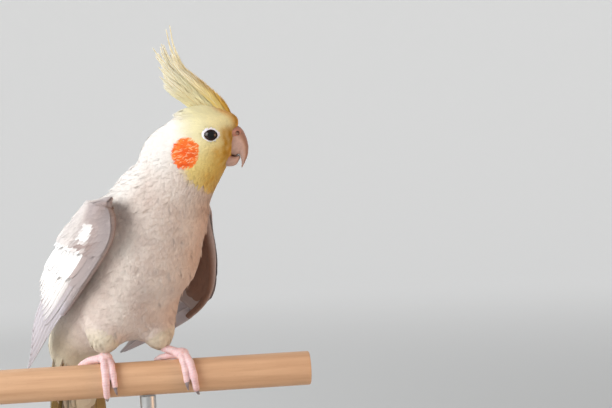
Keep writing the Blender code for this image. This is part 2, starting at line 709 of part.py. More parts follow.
def build_legs(plumage, skin, claw):
    for name, path in THIGHS.items():
        fused(name, plumage, [closed_rings(thigh_rings(path))], [grown_body()])
    for side, foot in FEET.items():
        centre = np.array([*foot["ball"], PERCH_RADIUS + GAP + 2.9])
        shapes = [ball(centre, (4.0, 3.6, 2.9), np.eye(3), 8, 12)]
        for toe_name, toe in foot["toes"].items():
            path, radii = toe_path(toe)
            shapes.append(tube(path, radii, 8, side_hint=(1.0, 0.0, 0.0)))
            new_object(f"claw_{side}_{toe_name}", *claw_shape(toe), claw)
        top = np.array([*foot["tarsus_top"], ANKLE_HEIGHT - GAP])
        line = (top, top * 0.95 + centre * 0.05 - np.array([0, 0, 2.0]), centre)
        path = smooth_curve(line, np.linspace(0.0, 1.0, 6))
        shapes.append(tube(path, (TARSUS_RADIUS,) * 6, 10, side_hint=(0.0, 1.0, 0.0)))
        thigh = closed_rings(thigh_rings(THIGHS[f"thigh_{side}"], GAP))
        fused(f"foot_{side}", skin, shapes, [thigh])


def lathe(name, material, profile, sides, axis_point, axis):
    """A turned piece: profile is pairs of distance along the axis and radius."""
    axis = unit(axis)
    across = unit(np.cross(axis, [0.0, 1.0, 0.0] if abs(axis[1]) < 0.9 else [1.0, 0.0, 0.0]))
    deep = np.cross(axis, across)
    turn = np.linspace(0.0, 2 * math.pi, sides, endpoint=False)[:, None]
    rings = [
        np.array(axis_point) + axis * along + radius * (np.cos(turn) * across + np.sin(turn) * deep)
        for along, radius in profile
    ]
    return new_object(name, *closed_rings(np.array(rings)), material)


def build_stand(wood, steel):
    """A length of dowel on one upright rod, in a flat round base."""
    half, edge = PERCH_LENGTH / 2, 1.0
    profile = ((-half, PERCH_RADIUS - edge), (-half + edge, PERCH_RADIUS))
    profile += tuple((-a, r) for a, r in reversed(profile))
    lathe("perch", wood, profile, 40, (0, 0, 0), (1.0, 0, 0))
    floor = -PERCH_HEIGHT
    base = (
        (0.0, BASE_RADIUS - 1.0),
        (1.0, BASE_RADIUS),
        (BASE_THICKNESS - BASE_EDGE, BASE_RADIUS),
        (BASE_THICKNESS - BASE_EDGE * 0.3, BASE_RADIUS - BASE_EDGE * 0.3),
        (BASE_THICKNESS, BASE_RADIUS - BASE_EDGE),
    )
    lathe("stand_base", wood, base, 48, (0, 0, floor), (0, 0, 1.0))
    rod = ((BASE_THICKNESS + GAP, ROD_RADIUS), (PERCH_HEIGHT - PERCH_RADIUS - GAP, ROD_RADIUS))
    lathe("stand_rod", steel, rod, 24, (0, 0, floor), (0, 0, 1.0))


def main():
    for obj in list(bpy.data.objects):
        bpy.data.objects.remove(obj)
    cream = finish("cream_plumage", (0.72, 0.63, 0.54), 0.9)
    yellow = finish("yellow_plumage", (0.80, 0.68, 0.25), 0.9)
    grey = finish("grey_plumage", (0.55, 0.48, 0.44), 0.85)
    horn = finish("horn", (0.50, 0.36, 0.30), 0.4)
    pink = finish("pink_skin", (0.80, 0.52, 0.50), 0.6)
    dark = finish("dark_eye", (0.01, 0.01, 0.012), 0.08)
    claw = finish("claw_horn", (0.20, 0.17, 0.16), 0.4)
    wood = finish("beech", (0.72, 0.48, 0.30), 0.5)
    steel = finish("satin_steel", (0.60, 0.60, 0.60), 0.35, 1.0)
    build_stand(wood, steel)
    build_trunk(cream, yellow)
    build_eyes(dark)
    build_bill(horn, pink)
    build_crest(yellow)
    build_wings(grey)
    build_tail(grey)
    build_legs(cream, pink, claw)


main()
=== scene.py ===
"""Dresses the solids of a pale cockatiel on its display stand: skin, feathers, horn, wood and light.

Points are in millimetres from the middle of the dowel's axis: X along the dowel, -Y the side that
the breast faces, Z up. put_mesh turns them to metres above the floor.
"""

import math

import bpy
import numpy as np
from mathutils import Matrix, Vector
from mathutils.kdtree import KDTree


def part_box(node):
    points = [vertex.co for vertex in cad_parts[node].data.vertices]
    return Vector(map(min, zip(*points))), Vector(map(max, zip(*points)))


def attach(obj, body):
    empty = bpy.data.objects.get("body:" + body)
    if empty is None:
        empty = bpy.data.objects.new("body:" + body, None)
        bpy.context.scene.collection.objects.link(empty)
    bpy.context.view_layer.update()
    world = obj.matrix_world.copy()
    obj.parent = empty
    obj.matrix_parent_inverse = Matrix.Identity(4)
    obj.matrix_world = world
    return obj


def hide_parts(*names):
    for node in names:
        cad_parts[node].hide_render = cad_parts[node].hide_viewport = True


bl_info = {
    "name": "Display cockatiel",
    "version": (1, 0, 0),
    "blender": (4, 5, 0),
    "location": "3D View > Sidebar > Cockatiel",
    "description": "A life-size cockatiel with its plumage as mesh, on a dowel and a round base",
    "category": "Object",
}

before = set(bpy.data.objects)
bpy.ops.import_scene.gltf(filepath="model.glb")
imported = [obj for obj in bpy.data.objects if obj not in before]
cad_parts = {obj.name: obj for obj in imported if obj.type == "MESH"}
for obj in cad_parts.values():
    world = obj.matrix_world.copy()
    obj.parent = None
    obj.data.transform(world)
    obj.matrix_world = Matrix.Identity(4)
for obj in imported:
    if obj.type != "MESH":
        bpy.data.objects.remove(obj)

MM = 0.001
SEED = 23


def frame_box(node):
    """Lowest and highest corner of a solid of the frame, in millimetres."""
    low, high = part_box(node)
    return np.array(low) / MM, np.array(high) / MM


DOWEL_LOW, DOWEL_HIGH = frame_box("perch")
DOWEL_CENTRE = (DOWEL_LOW + DOWEL_HIGH) / 2
DOWEL_RADIUS = (DOWEL_HIGH[2] - DOWEL_LOW[2]) / 2
DOWEL_HALF = (DOWEL_HIGH[0] - DOWEL_LOW[0]) / 2
BASE_LOW, BASE_HIGH = frame_box("stand_base")
ROD_LOW, ROD_HIGH = frame_box("stand_rod")

BODY_HEADING = 48.0
BODY_PITCH = 48.0
HEAD_HEADING = 10.0
TAIL_PITCH = -81.0
SKULL = np.array([31.0, -25.0, 119.0])


def linear(code):
    """An sRGB hex value as linear red, green and blue."""
    value = np.array([int(code[i : i + 2], 16) for i in (1, 3, 5)]) / 255
    return np.where(value <= 0.04045, value / 12.92, ((value + 0.055) / 1.055) ** 2.4)


def unit(vectors):
    """Vectors over their own lengths."""
    vectors = np.asarray(vectors, float)
    return vectors / np.maximum(np.linalg.norm(vectors, axis=-1, keepdims=True), 1e-9)


def smooth_step(value, low, high):
    """0 below low, 1 above high, and a smooth S between them."""
    share = np.clip((value - low) / (high - low), 0.0, 1.0)
    return share * share * (3 - 2 * share)


def within(*edges):
    """The product of the smooth steps of each (value, low, high): 1 inside all of these edges."""
    return math.prod(smooth_step(*edge) for edge in edges)


def mix(first, second, share):
    """Colours first and second blended by a share for each point."""
    share = np.asarray(share)[..., None]
    return first * (1 - share) + second * share


def heading_axes(heading, pitch=0.0):
    """Rows: forward, left and up of a piece that faces heading degrees round from +X towards -Y."""
    turn = math.radians(heading)
    tilt = math.radians(pitch)
    level = np.array([math.cos(turn), -math.sin(turn), 0.0])
    rise = np.array([0.0, 0.0, 1.0])
    forward = math.cos(tilt) * level + math.sin(tilt) * rise
    up = math.cos(tilt) * rise - math.sin(tilt) * level
    return np.array([forward, np.cross(up, forward), up])


BODY = heading_axes(BODY_HEADING, BODY_PITCH)
HEAD = heading_axes(HEAD_HEADING)


def in_head(forward, left, up):
    """A point given forward, left and up of the skull's centre."""
    return SKULL + np.array([forward, left, up]) @ HEAD


def smooth_curve(points, places):
    """Points of a Catmull-Rom curve through the given points, at places from 0 to 1."""
    points = np.asarray(points, float)
    padded = np.vstack([2 * points[0] - points[1], points, 2 * points[-1] - points[-2]])
    spans = len(points) - 1
    along = np.clip(np.asarray(places, float), 0.0, 1.0) * spans
    index = np.minimum(along.astype(int), spans - 1)
    t = (along - index)[..., None]
    a, b, c, d = (padded[index + k] for k in range(4))
    square = (2 * a - 5 * b + 4 * c - d) * t**2
    return 0.5 * (2 * b + (c - a) * t + square + (3 * b - a - 3 * c + d) * t**3)


def full_turn(count):
    """Angles of count points evenly round a circle."""
    return np.linspace(0.0, 2 * math.pi, count, endpoint=False)


def ripple(points, wavelength, seed):
    """Smooth noise of about -1 to 1: a mean of sine waves of one wavelength, each its own way."""
    rng = np.random.default_rng(seed)
    ways = unit(rng.normal(size=(9, 3)))
    phases = rng.uniform(0, 2 * math.pi, 9)
    return 2.0 * np.sin(points @ ways.T * (2 * math.pi / wavelength) + phases).mean(-1)


# Meshes


def put_mesh(name, points, faces, material, slot, replaces=(), colours=None, maps=None, normals=None):
    """One finished piece that rides on the root body. faces is a list of arrays of triangles or quads.

    colours, kept as the attribute Markings, are linear, and maps are pairs of numbers by the name of
    their UV map. Both are for each point, or fewer that broadcast. normals say how it is lit.
    """
    mesh = bpy.data.meshes.new(name)
    grid = np.shape(points)[:-1]
    placed = (np.asarray(points, float).reshape(-1, 3) + DOWEL_CENTRE) * MM
    corners = np.concatenate([np.asarray(f).ravel() for f in faces]).astype(np.int32)
    sizes = np.concatenate([np.full(len(f), np.asarray(f).shape[1]) for f in faces])
    starts = np.concatenate([[0], np.cumsum(sizes)[:-1]]).astype(np.int32)
    mesh.vertices.add(len(placed))
    mesh.vertices.foreach_set("co", placed.astype(np.float32).ravel())
    mesh.loops.add(len(corners))
    mesh.loops.foreach_set("vertex_index", corners)
    mesh.polygons.add(len(sizes))
    mesh.polygons.foreach_set("loop_start", starts)
    mesh.polygons.foreach_set("use_smooth", np.full(len(sizes), True))
    mesh.update(calc_edges=True)
    if normals is not None:
        mesh.normals_split_custom_set_from_vertices(np.asarray(normals).reshape(-1, 3).tolist())
    for map_name, values in (maps or {}).items():
        layer = mesh.uv_layers.new(name=map_name)
        flat = np.broadcast_to(values, (*grid, 2)).astype(np.float32).reshape(-1, 2)
        layer.data.foreach_set("uv", flat[corners].ravel())
    if colours is not None:
        layer = mesh.color_attributes.new("Markings", "FLOAT_COLOR", "POINT")
        rows = np.broadcast_to(colours, (*grid, 3)).reshape(-1, 3)
        rows = np.concatenate([rows, np.ones((len(placed), 1))], 1)
        layer.data.foreach_set("color", rows.astype(np.float32).ravel())
    mesh.materials.append(material)
    obj = bpy.data.objects.new(name, mesh)
    bpy.context.scene.collection.objects.link(obj)
    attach(obj, "root")
    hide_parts(*replaces)
    return obj


def sheet_faces(count, rows, columns):
    """Quads of count separate grids of points, each rows by columns."""
    index = np.arange(rows * columns).reshape(rows, columns)
    quads = np.stack([index[:-1, :-1], index[:-1, 1:], index[1:, 1:], index[1:, :-1]], -1).reshape(-1, 4)
    return (quads[None] + (np.arange(count) * rows * columns)[:, None, None]).reshape(-1, 4)


def slab_faces(count, rows, columns):
    """Quads of count closed slabs. Each has an upper grid of points, then a lower one, and a rim."""
    size = rows * columns
    index = np.arange(size).reshape(rows, columns)
    upper = sheet_faces(1, rows, columns)
    edge = np.concatenate([index[0], index[1:, -1], index[-1, -2::-1], index[-2:0:-1, 0]])
    after = np.roll(edge, -1)
    rim = np.stack([edge + size, after + size, after, edge], -1)
    quads = np.concatenate([upper, upper[:, ::-1] + size, rim])
    return (quads[None] + (np.arange(count) * 2 * size)[:, None, None]).reshape(-1, 4)


def ring_solid(rings):
    """Points and faces of rings of points joined along their length, closed by a fan at each end."""
    rings = np.asarray(rings, float)
    count, around = rings.shape[:2]
    index = np.arange(count * around).reshape(count, around)
    after = np.roll(index, -1, axis=1)
    quads = np.stack([index[:-1], after[:-1], after[1:], index[1:]], -1).reshape(-1, 4)
    poles = count * around
    first = np.stack([after[0], index[0], np.full(around, poles)], -1)
    last = np.stack([index[-1], after[-1], np.full(around, poles + 1)], -1)
    points = np.vstack([rings.reshape(-1, 3), rings[0].mean(0), rings[-1].mean(0)])
    return points, [quads, np.vstack([first, last])]


def joined(solids):
    """Points and faces of several solids as one mesh."""
    points = []
    faces = []
    start = 0
    for solid_points, solid_faces in solids:
        points.append(solid_points)
        faces += [f + start for f in solid_faces]
        start += len(solid_points)
    return np.vstack(points), faces


def ball(centre, radii, axes, rows=20, around=32):
    """A closed ellipsoid: its rings run along the first axis, their radius the sine of the angle."""
    angle = np.linspace(0.03, math.pi - 0.03, rows)[:, None]
    turn = full_turn(around)[None, :]
    local = [-np.cos(angle) + 0 * turn, np.cos(turn) * np.sin(angle), np.sin(turn) * np.sin(angle)]
    return ring_solid(np.array(centre) + (np.stack(local, -1) * radii) @ axes)


def tube(path, radii, around, side_hint):
    """A closed tube: circles of the given radii square to the path, the first point off side_hint."""
    tangents = unit(np.gradient(path, axis=0))
    across = unit(np.cross(np.array(side_hint, float), tangents))
    up = np.cross(tangents, across)
    turn = full_turn(around)[None, :, None]
    radii = np.asarray(radii, float)[:, None, None]
    return ring_solid(path[:, None] + radii * (np.cos(turn) * across[:, None] + np.sin(turn) * up[:, None]))


def neighbour_mean(points, quads):
    """Each point's mean with the points across the quads that it is a corner of."""
    total = np.zeros_like(points)
    seen = np.zeros(len(points))
    centres = points[quads].mean(axis=1)
    for k in range(4):
        np.add.at(total, quads[:, k], centres)
        np.add.at(seen, quads[:, k], 1.0)
    return total / np.maximum(seen, 1.0)[:, None]


def grown_together(solids, cell, material):
    """Points and quads of one closed skin round several solids, by a voxel remesh of cell mm."""
    points, faces = joined(solids)
    rough = put_mesh("rough", points, faces, material, "cream_plumage")
    change = rough.modifiers.new("join", "REMESH")
    change.mode = "VOXEL"
    change.voxel_size = cell * MM
    bpy.context.view_layer.update()
    graph = bpy.context.evaluated_depsgraph_get()
    mesh = bpy.data.meshes.new_from_object(rough.evaluated_get(graph), depsgraph=graph)
    points = np.empty(len(mesh.vertices) * 3)
    mesh.vertices.foreach_get("co", points)
    quads = np.empty(len(mesh.loops), int)
    mesh.loops.foreach_get("vertex_index", quads)
    bpy.data.objects.remove(rough)
    return points.reshape(-1, 3) / MM - DOWEL_CENTRE, quads.reshape(-1, 4)


# Finishes

# How much the ridges of the barbs slope towards a feather's tip: along for each step across.
BARB_SLANT = 1.3


def per_metre(millimetres):
    """A texture's scale for a pattern this many millimetres wide."""
    return 1 / (millimetres * MM)


def node(tree, kind, settings=None, links=None):
    """Adds a node: settings are its own properties or the values of its sockets, links feed sockets."""
    made = tree.nodes.new(kind)
    for name, value in (settings or {}).items():
        if isinstance(name, str) and hasattr(made, name):
            setattr(made, name, value)
        else:
            made.inputs[name].default_value = value
    for name, source in (links or {}).items():
        tree.links.new(source, made.inputs[name])
    return made


def new_finish(name, **settings):
    """A material, its node tree, its shader with the given sockets set, and object coordinates."""
    material = bpy.data.materials.new(name)
    material.use_nodes = True
    tree = material.node_tree
    shader = tree.nodes["Principled BSDF"]
    for socket, value in settings.items():
        shader.inputs[socket.replace("_", " ")].default_value = value
    return material, tree, shader, node(tree, "ShaderNodeTexCoord").outputs["Object"]


def shaded_markings(tree, height, low, high, dark, light):
    """The piece's own markings with painted shade and a painted highlight: darker where height is low, as
    shade in its hollows, and lighter where it is high, as light on its ridges.
    """
    marks = node(tree, "ShaderNodeAttribute", {"attribute_name": "Markings"})
    shade = node(
        tree, "ShaderNodeMapRange", {"From Min": low, "From Max": high, "To Min": dark, "To Max": light},
        {"Value": height},
    )
    links = {0: marks.outputs["Color"], "Scale": shade.outputs[0]}
    return node(tree, "ShaderNodeVectorMath", {"operation": "SCALE"}, links).outputs[0]


def finished(tree, shader, colour, height, strength, depth):
    """Links a colour to the shader, and the bump of height, depth mm deep, as its normal."""
    bump = node(tree, "ShaderNodeBump", {"Strength": strength, "Distance": depth * MM}, {"Height": height})
    tree.links.new(bump.outputs[0], shader.inputs["Normal"])
    if colour is not None:
        tree.links.new(colour, shader.inputs["Base Color"])


def feather_finish(name, barb_spacing, barb_depth, roughness):
    """Keratin vane: a soft matt sheen, with barbs as fine slanting ridges off the shaft.

    Real barbs are about 0.1 mm apart, too fine to show, so they are drawn barb_spacing mm apart.
    The map Vane gives millimetres across and along each feather.
    """
    material, tree, shader, place = new_finish(
        name, Roughness=roughness, Sheen_Weight=0.25, Sheen_Roughness=0.6, Specular_IOR_Level=0.25
    )
    vane = node(tree, "ShaderNodeUVMap", {"uv_map": "Vane"})
    parts = node(tree, "ShaderNodeSeparateXYZ", None, {0: vane.outputs[0]})
    across = node(tree, "ShaderNodeMath", {"operation": "ABSOLUTE"}, {0: parts.outputs[0]})
    slant = node(tree, "ShaderNodeMath", {"operation": "MULTIPLY", 1: -BARB_SLANT}, {0: across.outputs[0]})
    along = node(tree, "ShaderNodeMath", {"operation": "ADD"}, {0: parts.outputs[1], 1: slant.outputs[0]})
    waves = {"operation": "MULTIPLY", 1: 2 * math.pi / barb_spacing}
    turns = node(tree, "ShaderNodeMath", waves, {0: along.outputs[0]})
    ridge = node(tree, "ShaderNodeMath", {"operation": "SINE"}, {0: turns.outputs[0]})
    ruffle = node(tree, "ShaderNodeTexNoise", {"Scale": 420.0, "Detail": 3.0}, {"Vector": place})
    height = node(tree, "ShaderNodeMath", {"operation": "ADD"}, {0: ridge.outputs[0], 1: ruffle.outputs[0]})
    # Painted shade between the barb ridges and in the ruffle's hollows, and a painted highlight on their
    # crests.
    colour = shaded_markings(tree, height.outputs[0], -1.0, 2.0, 0.93, 1.05)
    finished(tree, shader, colour, height.outputs[0], 0.5, barb_depth)
    return material


def skin_finish():
    """Down under the feathers: matt, with the coat's own markings and a tangled bump 1 mm fine."""
    material, tree, shader, place = new_finish("down", Roughness=0.95)
    marks = node(tree, "ShaderNodeAttribute", {"attribute_name": "Markings"})
    fluff = node(tree, "ShaderNodeTexNoise", {"Scale": 900.0, "Detail": 4.0}, {"Vector": place})
    finished(tree, shader, marks.outputs["Color"], fluff.outputs[0], 0.7, 0.3)
    return material


def hide_finish(name, roughness, grain, depth, glow):
    """Bare living skin or horn: markings on a moist or waxy surface that light enters a little.

    grain is the spacing of its fine wrinkles in millimetres, and its clouds are about 4 mm wide.
    """
    material, tree, shader, place = new_finish(
        name, Roughness=roughness, Subsurface_Weight=glow, Subsurface_Radius=(1.0, 0.45, 0.35),
        Subsurface_Scale=1.2 * MM,
    )
    cells = node(tree, "ShaderNodeTexVoronoi", {"Scale": per_metre(grain)}, {"Vector": place})
    cloud = node(tree, "ShaderNodeTexNoise", {"Scale": 260.0, "Detail": 4.0}, {"Vector": place})
    height = node(tree, "ShaderNodeMath", {"operation": "ADD"}, {0: cells.outputs[0], 1: cloud.outputs[0]})
    # Painted shade in the hollows of the wrinkles and a painted highlight on their ridges; the clouds in the
    # height add a random tone of their own.
    colour = shaded_markings(tree, height.outputs[0], 0.2, 1.2, 0.9, 1.06)
    finished(tree, shader, colour, height.outputs[0], 0.6, depth)
    return material


def eye_finish():
    """Wet cornea over a very dark iris: a sharp clear highlight."""
    material, tree, shader, _ = new_finish(
        "cornea", Roughness=0.1, Coat_Weight=0.35, Coat_Roughness=0.02, Specular_IOR_Level=0.15
    )
    marks = node(tree, "ShaderNodeAttribute", {"attribute_name": "Markings"})
    tree.links.new(marks.outputs["Color"], shader.inputs["Base Color"])
    return material


def beech_finish():
    """Sanded, oiled beech: warm pale wood with close straight grain and short darker flecks.

    Along the wood the grain's 1.4 mm are drawn out to 24 mm. Its bands are 5 mm apart, and the
    flecks 1 mm wide and 4 mm long.
    """
    material, tree, shader, place = new_finish("oiled_beech", Roughness=0.5)
    drawn_out = node(tree, "ShaderNodeMapping", {"Scale": (0.06, 1.0, 1.0)}, {"Vector": place}).outputs[0]
    noise = {"Scale": 700.0, "Detail": 5.0}
    grain = node(tree, "ShaderNodeTexNoise", noise, {"Vector": drawn_out})
    # A wave texture repeats every pi / 10 of its own units.
    bands = {"wave_type": "BANDS", "bands_direction": "Z", "Distortion": 5.0}
    bands["Scale"] = 60.0
    rings = node(tree, "ShaderNodeTexWave", bands, {"Vector": drawn_out})
    fleck_space = node(tree, "ShaderNodeMapping", {"Scale": (0.3, 1.0, 1.0)}, {"Vector": place}).outputs[0]
    flecks = node(tree, "ShaderNodeTexVoronoi", {"Scale": 900.0}, {"Vector": fleck_space})
    links = {0: rings.outputs[1], 2: grain.outputs[0]}
    blend = node(tree, "ShaderNodeMath", {"operation": "MULTIPLY_ADD", 1: 0.35}, links)
    wood = node(tree, "ShaderNodeValToRGB", None, {0: blend.outputs[0]})
    for stop, place_on_ramp, code in zip(wood.color_ramp.elements, (0.3, 0.95), ("#C49A76", "#D6AE89")):
        stop.position = place_on_ramp
        stop.color = (*linear(code), 1.0)
    fade = {"From Min": 0.0, "From Max": 0.25, "To Min": 0.15, "To Max": 0.0}
    fleck_share = node(tree, "ShaderNodeMapRange", fade, {"Value": flecks.outputs[0]})
    dark = node(
        tree, "ShaderNodeMix", {"data_type": "RGBA", 7: (*linear("#9A6440"), 1.0)},
        {0: fleck_share.outputs[0], 6: wood.outputs[0]},
    )
    finished(tree, shader, dark.outputs[2], grain.outputs[0], 0.25, 0.1)
    return material


def steel_finish():
    """Satin stainless steel, brushed round the rod: rings 0.2 mm apart that spread the highlight."""
    material, tree, shader, place = new_finish(
        "satin_stainless", Metallic=1.0, Roughness=0.32, Anisotropic=0.4, Base_Color=(*linear("#C3C4C4"), 1.0)
    )
    brushed = node(tree, "ShaderNodeMapping", {"Scale": (0.02, 0.02, 1.0)}, {"Vector": place})
    noise = {"Scale": per_metre(0.2), "Detail": 2.0}
    lines = node(tree, "ShaderNodeTexNoise", noise, {"Vector": brushed.outputs[0]})
    finished(tree, shader, None, lines.outputs[0], 0.15, 0.02)
    return material


def backdrop_finish(colour):
    """Matt painted card: darker near the bird as a painted shadow, and glowing a little far off as painted
    light, so that it looks evenly lit.
    """
    material, tree, shader, place = new_finish("painted_card", Roughness=0.95, Emission_Color=(1.0,) * 4)
    reach = node(tree, "ShaderNodeVectorMath", {"operation": "LENGTH"}, {0: place})
    far = node(
        tree, "ShaderNodeMapRange", {"interpolation_type": "SMOOTHSTEP", "From Min": 0.5, "From Max": 2.6},
        {"Value": reach.outputs["Value"]},
    )
    # Painted shadow: the card is darker near the bird, fading to its own colour by 2.6 m off.
    near_and_far = {"data_type": "RGBA", 6: (*linear("#C9C9C7"), 1.0), 7: (*colour, 1.0)}
    card = node(tree, "ShaderNodeMix", near_and_far, {0: far.outputs[0]})
    glow = node(tree, "ShaderNodeMath", {"operation": "MULTIPLY", 1: BACKDROP_GLOW}, {0: far.outputs[0]})
    tree.links.new(card.outputs[2], shader.inputs["Base Color"])
    tree.links.new(glow.outputs[0], shader.inputs["Emission Strength"])
    return material


# The body's own shape


# Each mass of the body out to its plumage: centre, radii along, across and deep, and its axes.
TRUNK_MASSES = (
    ((-35.0, 34.5, 21.5), (19.0, 12.5, 10.5), BODY),
    ((-22.5, 23.0, 33.0), (24.0, 18.0, 18.0), BODY),
    ((-6.8, 10.0, 46.0), (26.0, 25.0, 26.0), BODY),
    ((3.2, -4.0, 64.6), (26.0, 26.0, 27.5), BODY),
    ((11.0, -14.0, 81.5), (22.0, 23.5, 22.5), BODY),
    ((19.5, -20.5, 98.0), (17.0, 17.0, 17.5), BODY),
    ((3.0, -9.0, 90.0), (17.0, 15.0, 14.0), BODY),
    (in_head(-14.0, 0.0, -9.0), (14.0, 11.5, 13.5), HEAD),
    (in_head(-1.5, 0.0, -14.0), (11.5, 10.5, 11.0), HEAD),
    (SKULL, (15.5, 12.4, 12.8), HEAD),
    (in_head(3.6, 0.0, -4.5), (9.2, 9.8, 9.0), HEAD),
    (in_head(12.9, 0.0, 6.2), (6.0, 4.6, 3.9), HEAD),
    (in_head(9.2, 0.0, -3.6), (5.8, 6.6, 7.4), HEAD),
)
THIGH_MASSES = {
    "right": (
        ((-20.6, -0.6, 20.4), (4.3, 4.3, 5.4)),
        ((-20.0, 1.0, 23.5), (5.4, 5.4, 6.2)),
        ((-18.0, 4.0, 28.5), (7.0, 7.0, 7.2)),
        ((-15.0, 7.0, 35.0), (8.2, 8.2, 9.0)),
    ),
    "left": (
        ((7.6, 2.0, 20.4), (3.9, 3.9, 5.4)),
        ((7.0, 3.5, 23.5), (4.7, 4.7, 6.2)),
        ((6.0, 6.5, 28.5), (5.8, 5.8, 7.2)),
        ((4.0, 9.0, 35.0), (7.6, 7.6, 9.0)),
    ),
}
FLESH_BLEND = 3.2
# The line through the body from the rump to the crown.
SPINE = (
    (-39.0, 41.0, 13.0),
    (-30.0, 31.0, 24.0),
    (-18.0, 18.0, 36.0),
    (-6.0, 7.0, 48.0),
    (3.0, -4.0, 62.0),
    (9.0, -12.0, 78.0),
    (15.5, -19.0, 94.0),
    (20.5, -21.2, 103.5),
    (25.5, -23.4, 113.0),
    (30.5, -25.6, 122.5),
)
BILL_ROOT = in_head(18.0, 0.0, -3.0)
EYE_RADIUS = 3.9
EYE_OPENING = 3.1
EYE_PLACE = (6.95, 9.7, -0.15)
EYE_FLATTEN = 0.85
BARE_EYE = 4.15

TAIL_ROOT = np.array([-36.5, 37.0, 17.0])
TAIL_LENGTHS = (152.0, 132.0, 116.0, 104.0, 94.0, 86.0)


def tail_axes():
    """Rows: along the tail to its tip, to the bird's left, and out of its upper side."""
    level = heading_axes(BODY_HEADING)
    down = math.radians(TAIL_PITCH)
    along = -math.cos(down) * level[0] + math.sin(down) * level[2]
    left = level[1]
    return np.array([along, left, unit(np.cross(left, along))])


TAIL = tail_axes()

# Outer edges of each folded wing: the leading edge from the wrist, and the edge over the back.
WING_EDGES = {
    "right": (
        (
            (-13.5, -43.0, 87.0), (-14.7, -37.0, 71.5), (-28.2, -17.0, 50.4), (-45.5, 8.0, 27.1),
            (-60.6, 28.0, 4.0),
        ),
        (
            (-23.0, -24.0, 90.5), (-35.0, 2.0, 76.0), (-47.2, 21.0, 58.4), (-56.0, 32.0, 35.5),
            (-61.8, 31.0, 4.8),
        ),
        1.0,
    ),
    "left": (
        ((36.0, 5.0, 77.0), (38.6, 17.0, 54.0), (35.0, 30.0, 34.8), (19.0, 46.0, 21.0), (-14.0, 57.0, 6.0)),
        ((22.0, 16.0, 91.0), (9.0, 27.0, 84.0), (-3.0, 36.0, 69.0), (-13.0, 45.0, 48.0), (-17.0, 57.5, 10.0)),
        -1.0,
    ),
}
WING_CAMBER = 5.0
WING_DEPTH = 4.4
WING_PLATE_END = 0.62
WING_LENGTH = 112.0
# The place across a wing towards which its sheet narrows at the wrist.
WING_MIDDLE = 0.55
WRIST_RADIUS = 3.9
# How far round a wing's leading edge the rows of its edge coverts are rooted, in degrees.
EDGE_TURNS = (-16.0, 18.0, 52.0, 86.0, 120.0, 155.0)


def wing_sheet(edges, s, w):
    """The outer surface of a folded wing: s from wrist to tip, w from leading edge to back.

    The point is on the chord between the two edge curves, pushed out by a sine of w. Gives the
    point, the way to the tip, the way out and the chord's length.
    """
    leading, back, hand = edges
    s, w = np.broadcast_arrays(np.asarray(s, float), np.asarray(w, float))

    def place(s, w):
        front, rear = smooth_curve(leading, s), smooth_curve(back, s)
        chord = rear - front
        after = smooth_curve(leading, np.clip(s + 0.02, 0, 1))
        run = unit(after - smooth_curve(leading, np.clip(s - 0.02, 0, 1)))
        out = unit(np.cross(chord, run)) * hand
        bulge = WING_CAMBER * np.sin(math.pi * np.clip(w, 0, 1)) * (1 - np.clip(s, 0, 1)) ** 0.5
        return front + chord * w[..., None] + out * bulge[..., None]

    point = place(s, w)
    ds = place(np.clip(s + 0.01, 0.01, 0.999), w) - place(np.clip(s - 0.01, 0.0, 0.98), w)
    dw = place(s, np.clip(w + 0.02, 0, 1)) - place(s, np.clip(w - 0.02, 0, 1))
    normal = unit(np.cross(dw, ds)) * hand
    run = unit(ds)
    # Above the wrist the sheet rolls over towards the body, round a circle that shrinks to the edges.
    turn = wrist_turn(s)[..., None]
    dome = WRIST_RADIUS * np.sin(math.pi * np.clip(w, 0.03, 0.97))[..., None]
    point = point - dome * (run * np.sin(turn) + normal * (1 - np.cos(turn)))
    run, normal = run * np.cos(turn) + normal * np.sin(turn), normal * np.cos(turn) - run * np.sin(turn)
    chord = np.linalg.norm(place(s, np.ones_like(w)) - place(s, np.zeros_like(w)), axis=-1)
    return point, run, normal, chord


def wrist_turn(s):
    """How far the sheet has rolled over the wrist, in radians: its length there over the radius."""
    return np.clip(np.maximum(-np.asarray(s), 0.0) * WING_LENGTH / WRIST_RADIUS, 0.0, 2.2)


def shoulder_mass(side):
    """The upper arm's block that joins the wing to the side of the body."""
    point, _, normal, _ = wing_sheet(WING_EDGES[side], np.array([0.17]), np.array([0.62]))
    return point[0] - normal[0] * 12.0, (15.0, 11.0, 11.0), BODY


def all_masses():
    """The trunk, thighs and shoulders, and three flat masses under the roots of the tail."""
    masses = list(TRUNK_MASSES)
    for side in ("right", "left"):
        masses += [(centre, radii, np.eye(3)) for centre, radii in THIGH_MASSES[side]]
        masses.append(shoulder_mass(side))
    for along, across, deep in ((2.0, 11.5, 6.5), (14.0, 11.5, 5.8), (26.0, 9.0, 4.4)):
        masses.append((TAIL_ROOT + TAIL[0] * along - TAIL[2] * 2.5, (9.0, across, deep), TAIL))
    return masses


MASSES = all_masses()


def mass_distance(points, mass):
    """About how far points are outside one ellipsoid: s (s - 1) / |slope of s|, s the scaled radius."""
    centre, radii, axes = mass
    local = (points - np.asarray(centre)) @ np.asarray(axes).T
    scaled = np.linalg.norm(local / radii, axis=-1)
    slope = np.linalg.norm(local / np.square(radii), axis=-1)
    return scaled * (scaled - 1.0) / np.maximum(slope, 1e-9)


def coat_depth(points):
    """How deep the plumage is over the skin: least at the bill."""
    reach = np.linalg.norm(points - BILL_ROOT, axis=-1)
    return np.interp(reach, (4.0, 14.0, 34.0), (0.4, 0.75, 1.25))


def skin_distance(points):
    """About how far points are outside the skin: a smooth union of the masses, less the coat."""
    total = sum(np.exp(-mass_distance(points, mass) / FLESH_BLEND) for mass in MASSES)
    return -FLESH_BLEND * np.log(np.maximum(total, 1e-300)) + coat_depth(points)


def skin_slope(points):
    """Distance to the skin and the way straight out of it, by differences over 0.05 mm."""
    step = 0.05
    here = skin_distance(points)
    slope = np.stack([skin_distance(points + step * axis) - here for axis in np.eye(3)], -1)
    return here, unit(slope)


